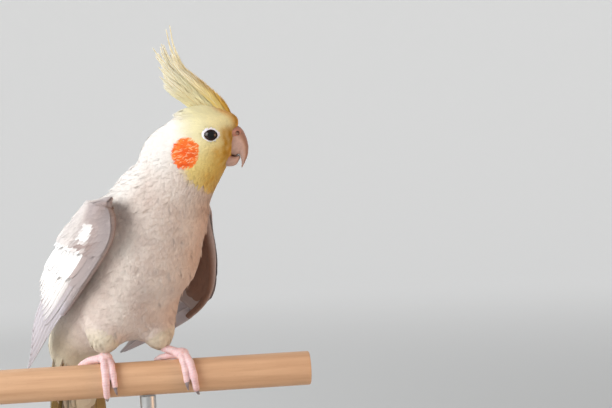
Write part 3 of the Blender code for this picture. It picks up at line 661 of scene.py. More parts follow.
def spine_place(points):
    """The place from 0 to 1 along the spine that is nearest to each point."""
    places = np.linspace(0.0, 1.0, 181)
    line = smooth_curve(SPINE, places)
    spread = np.sum(points**2, -1)[:, None] - 2 * points @ line.T + np.sum(line**2, -1)[None]
    return places[np.argmin(spread, axis=1)]


def thigh_share(points, side):
    """1 on one thigh and 0 away from it."""
    thigh = np.min([mass_distance(points, (*mass, np.eye(3))) for mass in THIGH_MASSES[side]], axis=0)
    trunk = np.min([mass_distance(points, mass) for mass in TRUNK_MASSES], axis=0)
    return smooth_step(trunk - thigh, -0.5, 3.0)


def either_thigh(points):
    """1 on both thighs and 0 away from them."""
    return np.maximum(thigh_share(points, "right"), thigh_share(points, "left"))


# Markings

CREAM = linear("#E4D8CE")
MAUVE = linear("#CFBCB2")
NAPE = linear("#F1EDE8")
PALE_YELLOW = linear("#EAE2B6")
MID_YELLOW = linear("#E3C766")
DEEP_YELLOW = linear("#D59A10")
LORE_GOLD = linear("#C08A10")
ORANGE = linear("#F05A06")
ORANGE_LIGHT = linear("#FF9238")
VENT = linear("#E6DCC0")
PAINTED_SHADE_BUFF = linear("#C48E60")
WING_GREY = linear("#B5A8A7")
WING_BROWN = linear("#AE9A94")
UNDER_WING_AND_SHADE = linear("#765039")
WING_WHITE = linear("#F7F5F3")
PRIMARY_GREY = linear("#B8B2B9")
TAIL_BROWN = linear("#785836")
TAIL_YELLOW = linear("#B89C52")
BILL_SIDE = linear("#C3A193")
BILL_RIDGE = linear("#8E624A")
BILL_GAPE_SHADE = linear("#5A3C34")
CERE_PINK = linear("#B27C68")
NOSTRIL_SHADE_RED = linear("#4E1B14")
RING_WHITE = linear("#E6E4EC")
FOOT_PINK = linear("#E6C8C9")
FOOT_SHADE_AND_MOTTLE = linear("#CB9DA1")
CLAW_GREY = linear("#7D7477")

# The hind edge of the yellow face: height from the skull's centre, then how far forward it is.
FACE_HEIGHTS = (-30.0, -27.5, -24.0, -20.0, -16.0, -13.0, -8.0, 0.0, 6.0, 12.0, 16.0)
FACE_HIND = (12.0, 3.6, -2.4, -5.6, -7.0, -4.5, -2.0, -6.5, -8.0, -9.5, -9.0)
CHEEK = (-4.9, -8.0)
CHEEK_RADII = (6.6, 7.6)


def head_place(points):
    """Forward, left and up of the skull's centre."""
    return ((points - SKULL) @ HEAD.T).T


def cheek_reach(forward, up):
    """Distance from the middle of the orange cheek, 1 at its edge."""
    return np.hypot((forward - CHEEK[0]) / CHEEK_RADII[0], (up - CHEEK[1]) / CHEEK_RADII[1])


def plumage(points):
    """The coat's colour at each point: cream breast, white nape, yellow face, orange cheeks, and a buff
    painted shade on the side away from the light.
    """
    forward, left, up = head_place(points)
    side = np.abs(left)
    place = spine_place(points)
    out = unit(points - smooth_curve(SPINE, place))
    backness = out @ BODY[2]
    cloud = 0.6 * ripple(points, 17.0, 1) + 0.4 * ripple(points, 7.0, 2)
    colour = mix(CREAM, MAUVE, np.clip(0.45 + 0.5 * cloud, 0, 1) * smooth_step(place, 0.95, 0.6))
    back = within((backness, -0.15, 0.55), (place, 0.35, 0.6))
    nape = within((place, 0.66, 0.8), (forward, 4.0, -8.0), (backness, -0.7, 0.1))
    colour = mix(colour, NAPE, np.maximum(back, nape) * 0.9)
    # Painted shade: a warm buff on the side of the body that faces +X, away from the window light.
    shaded_flank = within((out[:, 0], 0.35, 1.0), (place, 0.14, 0.3), (backness, 0.5, -0.2), (forward, 9.0, 2.0))
    colour = mix(colour, PAINTED_SHADE_BUFF, 0.6 * shaded_flank)
    low = 0.7 * either_thigh(points) * smooth_step(points[:, 2], 32.0, 19.0)
    colour = mix(colour, VENT, np.maximum(low, smooth_step(place, 0.2, 0.02) * 0.8))
    warmth = 0.7 * smooth_step(up, 4.0, -18.0) + 0.3 * smooth_step(forward, -4.0, 15.0)
    yellow = mix(PALE_YELLOW, MID_YELLOW, warmth)
    ridge = within((side, 7.0, 2.5), (forward, 5.0, 13.0), (up, -2.0, 5.0))
    lores = within((forward, 10.2, 14.5), (up, 5.5, 1.0), (side, 1.0, 4.0))
    chin = within((forward, 3.0, 12.0), (up, -4.0, -9.0))
    throat = within((forward, -1.0, 6.5), (up, -15.0, -21.0))
    streak = 0.75 + 0.35 * ripple(points, 3.4, 5)
    deep = np.max([ridge, chin * 0.75 * streak, throat * 0.7 * streak], axis=0)
    yellow = mix(yellow, DEEP_YELLOW, np.clip(deep, 0, 1))
    yellow = mix(yellow, LORE_GOLD, np.clip(lores * streak, 0, 1))
    edge = np.interp(up, FACE_HEIGHTS, FACE_HIND) + 0.9 * ripple(points, 5.0, 3)
    fade = np.interp(up, (-14.0, -2.0), (1.0, 3.2))
    face = within(((forward - edge) / fade, -1.8, 2.6), (up, -29.5, -26.5)) * (place > 0.6)
    colour = mix(colour, yellow, face)
    rim = cheek_reach(forward, up) + 0.06 * ripple(points, 3.0, 6)
    orange = mix(ORANGE, ORANGE_LIGHT, np.clip(0.3 + 0.45 * ripple(points, 3.2, 7), 0, 1))
    return mix(colour, orange, smooth_step(rim, 1.03, 0.93) * (side > 6.0))


def wing_colour(s, w):
    """A feather's colour by its place on the wing: grey shoulder, white patch, grey tips."""
    patch = within((w, 0.22, 0.3), (s, 0.31, 0.35), (s, 0.69, 0.62))
    tongue = within((w, 0.27, 0.32), (w, 0.52, 0.44), (s, 0.1, 0.15), (s, 0.3, 0.26))
    spots = np.stack([s * 80, w * 30, 0 * s], -1)
    grey = mix(WING_GREY, WING_BROWN, np.clip(0.4 + 0.4 * ripple(spots, 11.0, 9), 0, 1))
    blotch = within((s, 0.24, 0.28), (s, 0.36, 0.32), (w, 0.5, 0.42))
    grey = mix(grey, WING_BROWN * 0.9, blotch)
    grey = mix(grey, WING_GREY * 0.8, smooth_step(w, 0.24, 0.08))
    grey = mix(grey, PRIMARY_GREY, smooth_step(s, 0.55, 0.68))
    grey = mix(grey, NAPE, within((w, 0.4, 0.65), (s, 0.55, 0.3)) * 0.6)
    return mix(grey, WING_WHITE, np.maximum(patch, tongue))


# Leaf shapes shared by every feather

# Places of the rows of points along a body feather.
LEAF_ALONG = np.array([0.0, 0.3, 0.58, 0.82, 1.0])
# Strips across each body feather. Real barbs are about 0.1 mm wide, too fine to show.
BARBS = 7
# How deep under the skin a body feather is rooted, in mm.
ROOT_SINK = 0.35
# Side of a feather's patch on the map OFBake.
BAKE_PATCH = 0.003


def leaf_outline(t, shape):
    """A feather's half width along it, as a share of its widest: round or long."""
    outlines = {
        "round": ((0.0, 0.28, 0.6, 0.85, 1.0), (0.35, 0.85, 1.0, 0.9, 0.62)),
        "long": ((0.0, 0.12, 0.5, 0.82, 0.93, 1.0), (0.3, 0.72, 1.0, 0.86, 0.55, 0.12)),
    }
    return np.interp(t, *outlines[shape])


def body_leaves(roots, length, half, depth, rng, lift):
    """Feathers that lie along the coat, each a fan of narrow barbs: strips two points wide.

    Their rows step down the lie and keep their height over the skin, which rises from ROOT_SINK
    under it to depth as 1 - (1 - t) ** 1.6. The barbs at the sides are shorter, and every one ends
    in a blunt point. Gives points and normals of shape feathers, barbs, rows, 2, 3. The normals
    lean only a little from the skin's own, as light spreads in down.
    """
    count = len(roots)
    _, normal = skin_slope(roots)
    way = lie(roots, normal)
    turn = rng.normal(0.0, 0.09, count)[:, None]
    way = unit(way + turn * np.cross(normal, way))
    point = roots - normal * ROOT_SINK
    place = np.linspace(-1.0, 1.0, BARBS) + rng.normal(0.0, 0.06, (count, BARBS))
    short = 1 - rng.uniform(0.9, 1.04, (count, BARBS)) * (1 - 0.16 * place**2)
    over = rng.uniform(-0.02, 0.02, (count, BARBS))[..., None]
    lean = (0.2 * place + rng.normal(0.0, 0.05, (count, BARBS)))[..., None]
    half, place = half[:, None, None], place[..., None]
    rows = []
    lights = []
    before = 0.0
    for t in LEAF_ALONG:
        point = point + way * (length * (t - before))[:, None]
        before = t
        distance, normal = skin_slope(point)
        height = (depth + ROOT_SINK) * (1 - (1 - t) ** 1.6) - ROOT_SINK + lift * t * t
        point = point + normal * (height - distance)[:, None]
        way = unit(way - normal * np.sum(way * normal, -1, keepdims=True))
        across = np.cross(way, normal)[:, None]
        middle = point[:, None] + across * (half * leaf_outline(t, "round") * place)
        middle = middle - way[:, None] * (length[:, None] * short * t)[..., None]
        middle = middle + normal[:, None] * (over - 0.1 * half * place**2)
        barb = across * half * 0.25 * float(np.interp(t, (0, 0.3, 0.82, 1), (0.9, 1, 0.95, 0.12)))
        rows.append(np.stack([middle - barb, middle + barb], 2))
        light = unit(normal[:, None] + lean * across + 0.12 * way[:, None])
        lights.append(np.stack([light, light], 2))
    return np.stack(rows, 2), np.stack(lights, 2)


def leaf_grid(rows, columns):
    """t from 0 to 1 along a leaf and x from -1 to 1 across it, shaped to spread over many leaves."""
    return np.linspace(0.0, 1.0, rows)[None, :, None], np.linspace(-1.0, 1.0, columns)[None, None, :]


def pairs(first, second):
    """Two arrays spread over one another, as pairs of numbers."""
    return np.stack(np.broadcast_arrays(first, second), -1)


def put_leaves(name, leaves, material, slot, colours, maps, replaced=()):
    """One piece of separate leaves, from their points in rows and columns."""
    faces = [sheet_faces(*leaves.shape[:3])]
    put_mesh(name, leaves, faces, material, slot, replaced, colours, maps)


def leaf_maps(places, length, half, rows, columns):
    """A leaf's maps: OFBake, a small patch at its root's own place, and Vane, mm across and along."""
    t, x = leaf_grid(rows, columns)
    patch = pairs(x / 2, t - 0.5) * BAKE_PATCH
    vane = pairs(x * half[:, None, None], t * length[:, None, None])
    return {"OFBake": places[:, None, None] + patch, "Vane": vane}


def strip_maps(length, half, rows, columns):
    """A long feather's maps: OFBake, an upright strip of its own, and Vane, mm across and along."""
    count = len(length)
    t, x = leaf_grid(rows, columns)
    across = (np.arange(count)[:, None, None] + 0.5 + 0.4 * x) / (count + 1)
    vane = pairs(x * half[:, None, None], t * length[:, None, None])
    return {"OFBake": pairs(across, 0.03 + 0.94 * t), "Vane": vane}


def unwrap(points):
    """Skin points on a flat sheet: across is the turn round the spine, up the place along it.

    The thighs have a strip of their own under it: turn round the leg, and height.
    """
    place = spine_place(points)
    tangent = unit(smooth_curve(SPINE, place + 0.01) - smooth_curve(SPINE, place - 0.01))
    offset = points - smooth_curve(SPINE, place)
    front = unit(-BODY[2] - tangent * (tangent @ -BODY[2])[:, None])
    left = np.cross(tangent, front)
    turn = np.arctan2(np.sum(offset * left, -1), np.sum(offset * front, -1)) / (2 * math.pi) + 0.5
    flat = np.stack([0.01 + 0.98 * turn, 0.16 + 0.83 * place], -1)
    for start, side in ((0.01, "right"), (0.51, "left")):
        axis = np.array(THIGH_MASSES[side][1][0])
        turn = np.arctan2(points[:, 1] - axis[1], points[:, 0] - axis[0]) / (2 * math.pi) + 0.5
        leg = np.stack([start + 0.48 * turn, 0.01 + 0.12 * np.clip(points[:, 2] / 45.0, 0, 1)], -1)
        flat = np.where((thigh_share(points, side) > 0.5)[:, None], leg, flat)
    return flat


# Skin and coat


def build_skin(cell):
    """One closed skin over every mass.

    The masses are joined by a voxel remesh, and each of its points then steps along the slope of
    skin_distance until it lies on the skin.
    """
    down = skin_finish()
    points, quads = grown_together([ball(*mass) for mass in MASSES], cell, down)
    for smoothing in (0.5, 0.5, 0.5, 0.5, 0.5, 0.0):
        distance, normal = skin_slope(points)
        points = points - normal * np.clip(distance, -2.0, 2.0)[:, None]
        points = points + smoothing * (neighbour_mean(points, quads) - points)
    replaced = ("torso", "neck", "head", "thigh_left", "thigh_right")
    # Painted shade: the down is a little darker than the feathers over it, for the shade between them.
    put_mesh("skin", points, [quads], down, "cream_plumage", replaced, plumage(points) * 0.9)
    return points, quads


def lie(points, normals):
    """The way the coat lies: back from the bill on the head, down the body, down each thigh."""
    place = spine_place(points)
    body = unit(smooth_curve(SPINE, place - 0.03) - smooth_curve(SPINE, place + 0.03))
    head = unit(points - BILL_ROOT)
    share = smooth_step(np.linalg.norm(points - SKULL, axis=-1), 13.0, 27.0)[:, None]
    way = head * (1 - share) + body * share
    for side in ("right", "left"):
        leg = thigh_share(points, side)[:, None]
        way = way * (1 - leg) + np.array([0.0, 0.0, -1.0]) * leg
    rump = smooth_step(place, 0.12, 0.0)[:, None]
    way = way * (1 - rump) + TAIL[0] * rump
    return unit(way - normals * np.sum(way * normals, -1, keepdims=True))


# How feathers grow with the distance from the bill: distance, length, half width, spacing.
REACHES = (4.0, 9.0, 16.0, 26.0, 42.0, 70.0)
LENGTHS = (1.8, 2.6, 3.8, 5.6, 7.8, 9.0)
HALF_WIDTHS = (0.45, 0.65, 1.0, 1.4, 1.9, 2.2)
SPACINGS = (0.5, 0.7, 1.05, 1.4, 1.75, 2.0)


def spread_roots(points, quads, density, rng):
    """Roots spread evenly over the skin: random places in order, each kept if none is too near."""
    corners = points[quads]
    area = np.linalg.norm(np.cross(corners[:, 2] - corners[:, 0], corners[:, 3] - corners[:, 1]), axis=-1) / 2
    reach = np.linalg.norm(corners.mean(axis=1) - BILL_ROOT, axis=-1)
    spacing = np.interp(reach, REACHES, SPACINGS) / density
    weight = area / spacing**2
    chosen = rng.choice(len(quads), int(6.0 * weight.sum()), p=weight / weight.sum())
    u, v = rng.random((2, len(chosen), 1))
    a, b, c, d = (corners[chosen, k] for k in range(4))
    places = (a * (1 - u) + b * u) * (1 - v) + (d * (1 - u) + c * u) * v
    gaps = spacing[chosen]
    tree = KDTree(len(places))
    for index, place in enumerate(places):
        tree.insert(place, index)
    tree.balance()
    free = np.ones(len(places), bool)
    kept = []
    for index, place in enumerate(places):
        if free[index]:
            kept.append(index)
            for _, near, _ in tree.find_range(place, gaps[index]):
                free[near] = False
    return places[kept]


def eye_centre(side):
    """side is 1 for the left eye and -1 for the right."""
    return in_head(EYE_PLACE[0], side * EYE_PLACE[1], EYE_PLACE[2])


def eye_axes(side):
    """Rows: out of the eye, then two across it."""
    out = unit(np.array([0.22, side * 1.0, 0.05]) @ HEAD)
    across = unit(np.cross(out, HEAD[2]))
    return np.array([out, across, np.cross(out, across)])


def from_eye(points, side):
    """Distance from the edge of an eye's bare ring, then how far out of the eye and across it."""
    out, across, rise = eye_axes(side) @ (points - eye_centre(side)).T
    return np.hypot(across, rise / EYE_FLATTEN) - BARE_EYE, out, across


# The line on the side of the head where feathers end at the bill: forward, by height.
BILL_LINE_HEIGHTS = (-18.0, -12.0, -8.8, -5.1, 0.8, 5.0, 9.0)
BILL_LINE_FORWARD = (11.5, 14.0, 15.4, 16.3, 18.3, 19.4, 19.8)


def feathered(points):
    """True where the coat grows: behind the bill, off the eye rings and above the ankles."""
    forward, _, up = head_place(points)
    bare = (forward > np.interp(up, BILL_LINE_HEIGHTS, BILL_LINE_FORWARD)) & (up < 5.5)
    for side in (1, -1):
        clear, out, _ = from_eye(points, side)
        bare |= (clear < 0) & (out > 0)
    for masses in THIGH_MASSES.values():
        bare |= np.linalg.norm(points - masses[0][0] + [0, 0, 3.5], axis=-1) < 3.4
    return ~bare


# Lengths of the coat that make one piece each, by place along the spine.
COAT_PIECES = (
    ("coat_rump", 0.0, 0.2),
    ("coat_belly", 0.2, 0.36),
    ("coat_body", 0.36, 0.5),
    ("coat_breast", 0.5, 0.64),
    ("coat_neck", 0.64, 0.79),
    ("coat_head", 0.79, 1.01),
)


def build_coat(points, quads, length_share, density):
    """The coat: thousands of small leaves over the skin, least on the face, in a few pieces."""
    rng = np.random.default_rng(SEED)
    roots = spread_roots(points, quads, density, rng)
    roots = roots[feathered(roots)]
    reach = np.linalg.norm(roots - BILL_ROOT, axis=-1)
    count = len(roots)
    length = np.interp(reach, REACHES, LENGTHS) * rng.uniform(0.88, 1.12, count) * length_share
    half = np.interp(reach, REACHES, HALF_WIDTHS) * rng.uniform(0.88, 1.12, count)
    forward, _, up = head_place(roots)
    # Longer and narrower where the yellow throat ends in locks, longer and raised on the crown.
    lock = within((up, -13.0, -20.0), (up, -34.0, -27.0), (forward, -8.0, -1.0))
    crown = within((up, 7.0, 10.5), (forward, -5.0, 1.0), (forward, 16.5, 11.0))
    thigh = either_thigh(roots)
    length = length * (1 + 0.75 * lock) * (1 + 1.3 * crown) * (1 - 0.35 * thigh)
    half = half * (1 - 0.3 * lock) * (1 - 0.4 * thigh)
    for side in (1, -1):
        clear, out, across = from_eye(roots, side)
        near = (out > 0) & (across * side > -1.0)
        length = length * np.where(near, np.clip(0.3 + clear / 3.2, 0.3, 1.0), 1.0)
    depth = coat_depth(roots) * rng.uniform(0.88, 1.06, count)
    loose = (rng.random(count) < 0.02) & (reach > 40)
    leaves, lights = body_leaves(roots, length, half, depth, rng, 0.3 * lock + 1.9 * crown + 0.7 * loose)
    tone = rng.normal(1.0, 0.02, count)[:, None, None] * rng.normal(1.0, 0.018, (count, BARBS))[..., None]
    ends = leaves[:, :, 3].mean(axis=2).reshape(-1, 3)
    colours = plumage(ends).reshape(count, BARBS, 3) * tone
    forward, _, up = head_place(ends)
    cheek = (cheek_reach(forward, up) < 0.97).reshape(count, BARBS)
    pale = (rng.random((count, BARBS)) < 0.2) & cheek
    tips = mix(colours, linear("#FFD9A8"), 0.7 * pale)[:, :, None, None]
    along = LEAF_ALONG[:, None, None]
    # Painted shade: each barb is a little darker towards its root, where the feathers above shade it.
    shades = colours[:, :, None, None] * (0.96 + 0.04 * along) * (1 - along**2) + tips * along**2
    x = np.linspace(-1.0, 1.0, BARBS)[None, :, None, None] + np.array([-0.2, 0.2])
    t = along[:, :, 0]
    vane = pairs(x * half[:, None, None, None], t * length[:, None, None, None])
    patch = pairs(x / 2.4, t - 0.5) * BAKE_PATCH
    maps = {"OFBake": unwrap(roots)[:, None, None, None] + patch, "Vane": vane}
    material = feather_finish("contour_feather", 0.55, 0.03, 0.85)
    place = spine_place(roots)
    for name, low, high in COAT_PIECES:
        mine = (place >= low) & (place < high)
        faces = sheet_faces(int(mine.sum()) * BARBS, len(LEAF_ALONG), 2)
        slot = "yellow_plumage" if name == "coat_head" else "cream_plumage"
        own_maps = {key: values[mine] for key, values in maps.items()}
        put_mesh(name, leaves[mine], [faces], material, slot, (), shades[mine], own_maps, lights[mine])


# Wings


def sheet_leaves(edges, places, shape, rows, columns, notch=None, inner=False):
    """Feathers on a wing's sheet. places holds arrays alike in length: start and end along the
    sheet, w across it, half width, lift and rise.

    The half width is turned into a share of the chord, so a vane follows the wing's camber. lift
    is the height of its root over the sheet, and rise what its tip has more. inner feathers lie on
    the wing's side to the body. Gives the points, their s and w, and their normals.
    """
    t, x = leaf_grid(rows, columns)
    start, end, w, half, lift, rise = (np.asarray(a, float)[:, None, None] for a in places)
    width = half * leaf_outline(t, shape)
    if notch is not None:
        width = width * (1 - notch[:, :, None] * np.abs(x))
    round_end = 0.5 * width * x**2 / WING_LENGTH
    s = start + (end - start) * t - round_end * t**3
    # At the leading edge the wrist is too fine for a leaf to roll far over it.
    s = np.maximum(s, -0.012 - 0.26 * np.clip(w, 0.0, 1.0))
    hand = edges[2]
    _, _, _, chord = wing_sheet(edges, s, w + 0 * x)
    w = WING_MIDDLE + (w - WING_MIDDLE) * wrist_close(s)
    across = np.clip(w + hand * x * width / np.maximum(chord, 5.0), 0.0, 1.14)
    s, across = np.broadcast_arrays(s, across)
    point, _, normal, _ = wing_sheet(edges, s, across)
    height = lift + rise * t + 0.09 * width * (1 - x**2) - 0.3 * (1 + x) * hand * np.minimum(width, 3.0) / 3.0
    # Near the leading edge and the wrist every layer closes down on the round of the edge.
    snug = within((across, -0.06, 0.26), (s, -0.09, 0.03))
    floor = 0.15 + 0.2 * t
    height = floor + (height - floor) * np.where(s < 0.6, snug, 1.0)
    if not inner:
        return point + normal * height[..., None], s, across, normal
    height = height + wing_depth(s, across) * (1 - 0.85 * smooth_step(s, 0.5, 0.66))
    flip = (slice(None), slice(None), slice(None, None, -1))
    return (point - normal * height[..., None])[flip], s[flip], across[flip], -normal[flip]


def near_wrist(s):
    """1 at the rim of the wrist, falling evenly to 0 where a wing has its full width."""
    return np.clip(1 - (np.asarray(s) + 0.065) / 0.17, 0.0, 1.0)


def wrist_close(s):
    """How wide a wing is near its wrist, as a share: a quarter circle up to full width."""
    return np.sqrt(1 - 0.9 * near_wrist(s) ** 2)


def put_vanes(name, points, normals, thickness, colours, maps, material, replaced):
    """Long feathers as closed vanes: their points above, and points thickness under them."""
    count, rows, columns = points.shape[:3]
    solid = np.concatenate([points, points - normals * thickness], axis=1)
    maps = {key: np.concatenate([values, values], 1) for key, values in maps.items()}
    colours = np.concatenate([colours, colours], 1)
    faces = [slab_faces(count, rows, columns)]
    put_mesh(name, solid, faces, material, "grey_plumage", (replaced,), colours, maps)


def put_shafts(name, points, normals, width, height, colour, maps, material):
    """A three-sided ridge down the middle of each leaf, fine at the tip."""
    middle = points.shape[2] // 2
    line = points[:, :, middle]
    normal = normals[:, :, middle]
    side = np.cross(unit(np.gradient(line, axis=1)), normal)
    taper = np.linspace(1.0, 0.25, line.shape[1])[None, :, None]
    left = line - side * width * taper - normal * 0.1
    right = line + side * width * taper - normal * 0.1
    ridge = np.stack([left, line + normal * height * taper, right], axis=2)
    own_maps = {"OFBake": maps["OFBake"][:, :, :3], "Vane": (0.0, 0.0)}
    put_leaves(name, ridge, material, "grey_plumage", linear(colour), own_maps)


def wing_depth(s, w):
    """How thick a wing's fleshy part is: thin at the back and the tip, round at the wrist."""
    swell = np.sqrt(1 - near_wrist(np.maximum(s, 0.0)) ** 2)
    taper = 1 - 0.45 * np.clip(s, 0.0, 1.0) / WING_PLATE_END
    profile = np.sin(math.pi * np.clip(0.06 + 0.88 * (1 - np.clip(w, 0, 1)) ** 0.8, 0.0, 1.0)) ** 0.5
    return 2 * WING_DEPTH * (0.35 + 0.65 * swell) * taper * profile


def wing_core(edges):
    """The fleshy part of one wing: its sheet, a round leading edge and a flatter inner side.

    Each ring runs down the outer side from the back, half round the leading edge, and back inside.
    """
    wrist = [-0.05, -0.043, -0.033, -0.018, 0.0, 0.02, 0.045]
    s = np.concatenate([wrist, np.linspace(0.07, WING_PLATE_END, 24)])
    w = np.linspace(0.96, 0.05, 18)
    narrow = WING_MIDDLE + (w[None, :] - WING_MIDDLE) * wrist_close(s)[:, None]
    point, run, normal, _ = wing_sheet(edges, s[:, None], narrow)
    turn = wrist_turn(s)[:, None, None]
    normal = normal * np.cos(turn) + run * np.sin(turn)
    inner = point - normal * wing_depth(s[:, None], w[None, :])[..., None] * np.cos(turn)
    edge_middle = (point[:, -1] + inner[:, -1]) / 2
    radius = np.linalg.norm(point[:, -1] - inner[:, -1], axis=-1)[:, None] / 2
    ahead = unit(np.cross(run[:, -1], normal[:, -1])) * -edges[2]
    turn = np.linspace(0.25, math.pi - 0.25, 7)
    arc = [edge_middle + radius * (math.cos(a) * normal[:, -1] + 0.9 * math.sin(a) * ahead) for a in turn]
    rings = np.concatenate([point, np.stack(arc, 1), inner[:, ::-1]], axis=1)
    return ring_solid(rings[:, ::-1] if edges[2] > 0 else rings)


def staggered(count, row):
    """Places from 0 to 1 across a wing for one row of coverts; every other row is half a step on."""
    return (np.arange(count) + 0.5 * (row % 2)) / count


def covert_rows():
    """Rows of coverts by group: start, length, places across, half width, lift and rise.

    The greater coverts go with the median ones, and with the scapulars that lie over the back.
    """
    lesser = [
        (-0.075 + 0.0255 * i, 0.058 + 0.003 * i, staggered(19, i), 1.5 + 0.07 * i, 1.1 + 0.04 * i, 0.8)
        for i in range(14)
    ]
    greater = [
        (s, length, staggered(count, 1), half, lift, 1.0)
        for s, length, count, half, lift in ((0.2, 0.15, 13, 2.9, 1.25), (0.28, 0.24, 12, 3.3, 0.7))
    ]
    greater += [
        (-0.02 + 0.06 * i, 0.13 + 0.02 * i, 0.9 + 0.22 * staggered(5, i) * 5 / 4.5, 2.6, 0.9 + 0.2 * i, 0.6)
        for i in range(4)
    ]
    under = [
        (-0.01 + 0.055 * i, 0.1 + 0.012 * i, 0.06 + 0.86 * staggered(11, i), 2.3 + 0.12 * i, 0.15, 0.7)
        for i in range(8)
    ]
    return {"lesser": lesser, "greater": greater, "under": under}


def laid_out(rows, rng):
    """Start, end, w, half width, lift and rise of every covert in these rows, a little uneven."""
    parts = []
    for s, length, w, half, lift, rise in rows:
        jitter = rng.normal(0.0, 1.0, (3, len(w)))
        start = s + 0.004 * jitter[0] + 0.02 * w
        end = start + length * (1 + 0.05 * jitter[1]) - 0.03 * w * (length > 0.1)
        across = 0.02 + 0.95 * w + 0.006 * jitter[2]
        parts.append(np.broadcast_arrays(start, end, across, half, lift, rise))
    return np.concatenate(parts, axis=1)


def flight_rows():
    """Start, end, w, half width, lift and rise of the primaries, secondaries and tertials."""
    primaries = np.arange(7)
    secondaries = np.arange(10)
    start = np.concatenate([0.4 + 0.01 * primaries, 0.34 - 0.006 * secondaries])
    end = np.concatenate([0.998 - 0.032 * np.abs(primaries - 0.7), 0.76 - 0.017 * secondaries])
    w = np.concatenate([0.07 + 0.085 * primaries, 0.2 + 0.083 * secondaries])
    half = np.concatenate([3.3 + 0.12 * primaries, 3.6 + 0.05 * secondaries])
    lift = np.concatenate([-0.5 + 0.1 * primaries, -0.1 + 0.08 * secondaries])
    return start, end, w, half, lift, np.full(len(w), 0.35)


def edge_coverts(edges, rng):
    """Small leaves that wrap the leading edge: roots in rows on its round, lying to the tip.

    Gives points, places along the wing, how far round the edge each point is in degrees, lengths
    and half widths.
    """
    s = np.linspace(-0.055, WING_PLATE_END - 0.04, 26)
    s = (s[:, None] + 0.5 * (np.arange(len(EDGE_TURNS)) % 2) * (s[1] - s[0])).ravel()
    turn = np.radians(np.tile(EDGE_TURNS, 26)) + rng.normal(0, 0.05, len(s))
    length = np.interp(s, (0.0, 0.2, 0.6), (5.5, 7.5, 9.0))
    half = np.interp(s, (0.0, 0.2, 0.6), (1.7, 2.0, 2.2))
    t, x = leaf_grid(6, 5)
    here = s[:, None, None] + t * (length / WING_LENGTH)[:, None, None]
    radius = 2.15 - 1.2 * np.clip(here, 0, 1)
    point, run, normal, _ = wing_sheet(edges, here, WING_MIDDLE - 0.5 * wrist_close(here))
    ahead = unit(np.cross(run, normal)) * -edges[2]
    width = half[:, None, None] * leaf_outline(t, "round")
    angle = turn[:, None, None] - x * width / (radius + 0.6) * edges[2]
    reach = radius + 0.25 + 0.45 * t
    out = np.cos(angle)[..., None] * normal + np.sin(angle)[..., None] * ahead
    points = point - normal * radius[..., None] + out * reach[..., None]
    return points, here + 0 * x, np.degrees(angle), length, half


def build_wings():
    """Each folded wing: a fleshy core, coverts in tile-like rows, and long flight feathers."""
    down = skin_finish()
    covert = feather_finish("wing_covert", 0.4, 0.03, 0.8)
    flight = feather_finish("flight_feather", 0.45, 0.04, 0.62)
    for side, edges in WING_EDGES.items():
        rng = np.random.default_rng(SEED)
        points, faces = wing_core(edges)
        # Painted shade: the core under the coverts is a little darker than the wing's grey.
        put_mesh(f"wing_core_{side}", points, faces, down, "grey_plumage", (), WING_GREY * 0.8)
        for group, rows in covert_rows().items():
            build_coverts(f"{group}_coverts_{side}", edges, rows, covert, rng, group == "under")
        build_edge_coverts(f"edge_coverts_{side}", edges, covert, rng)
        build_flights(side, edges, flight, rng)


def leaf_colours_shaded_at_root(s, w, rng):
    """Colours of leaves by the place of their middles, with painted shade: a little darker at the root, where
    the row before covers it.
    """
    rows = s.shape[1]
    at = (slice(None), int(rows * 0.7), s.shape[2] // 2)
    base = wing_colour(s[at], w[at]) * rng.normal(1.0, 0.04, len(s))[:, None]
    t = np.linspace(0.0, 1.0, rows)[None, :, None, None]
    return np.broadcast_to(base[:, None, None], (*s.shape, 3)) * (0.8 + 0.24 * t)


def build_coverts(name, edges, rows, material, rng, inner):
    """Rows of coverts on one side of a wing, each a small curved vane."""
    placed = laid_out(rows, rng)
    start, end, w, half = placed[:4]
    points, s, across, _ = sheet_leaves(edges, placed, "round", 8, 7, inner=inner)
    places = np.stack([0.02 + 0.9 * w / 1.15, 0.02 + 0.95 * np.clip(start + 0.04, 0, 1)], -1)
    maps = leaf_maps(places, (end - start) * WING_LENGTH, half, 8, 7)
    colours = leaf_colours_shaded_at_root(s, across, rng)
    # Inner coverts: the underwing's own grey-brown, deepened to dark brown as painted shade.
    if inner:
        colours = mix(colours, UNDER_WING_AND_SHADE, 0.92)
    put_leaves(name, points, material, "grey_plumage", colours, maps)


def build_edge_coverts(name, edges, material, rng):
    """Small leaves that wrap round the leading edge of a wing, brown on its inner side: the underwing's
    grey-brown deepened with painted shade.
    """
    points, s, around, length, half = edge_coverts(edges, rng)
    count, rows, columns = points.shape[:3]
    index = np.arange(count)
    places = np.stack([0.7 + 0.04 * (index % len(EDGE_TURNS)), 0.02 + 0.9 * index / count], -1)
    maps = leaf_maps(places, length, half, rows, columns)
    colours = leaf_colours_shaded_at_root(s, np.full(s.shape, 0.05), rng)
    # Inner side: the underwing's own grey-brown, deepened to dark brown as painted shade.
    colours = mix(colours, UNDER_WING_AND_SHADE, 0.92 * smooth_step(around, 45.0, 150.0))
    put_leaves(name, points, material, "grey_plumage", colours, maps)


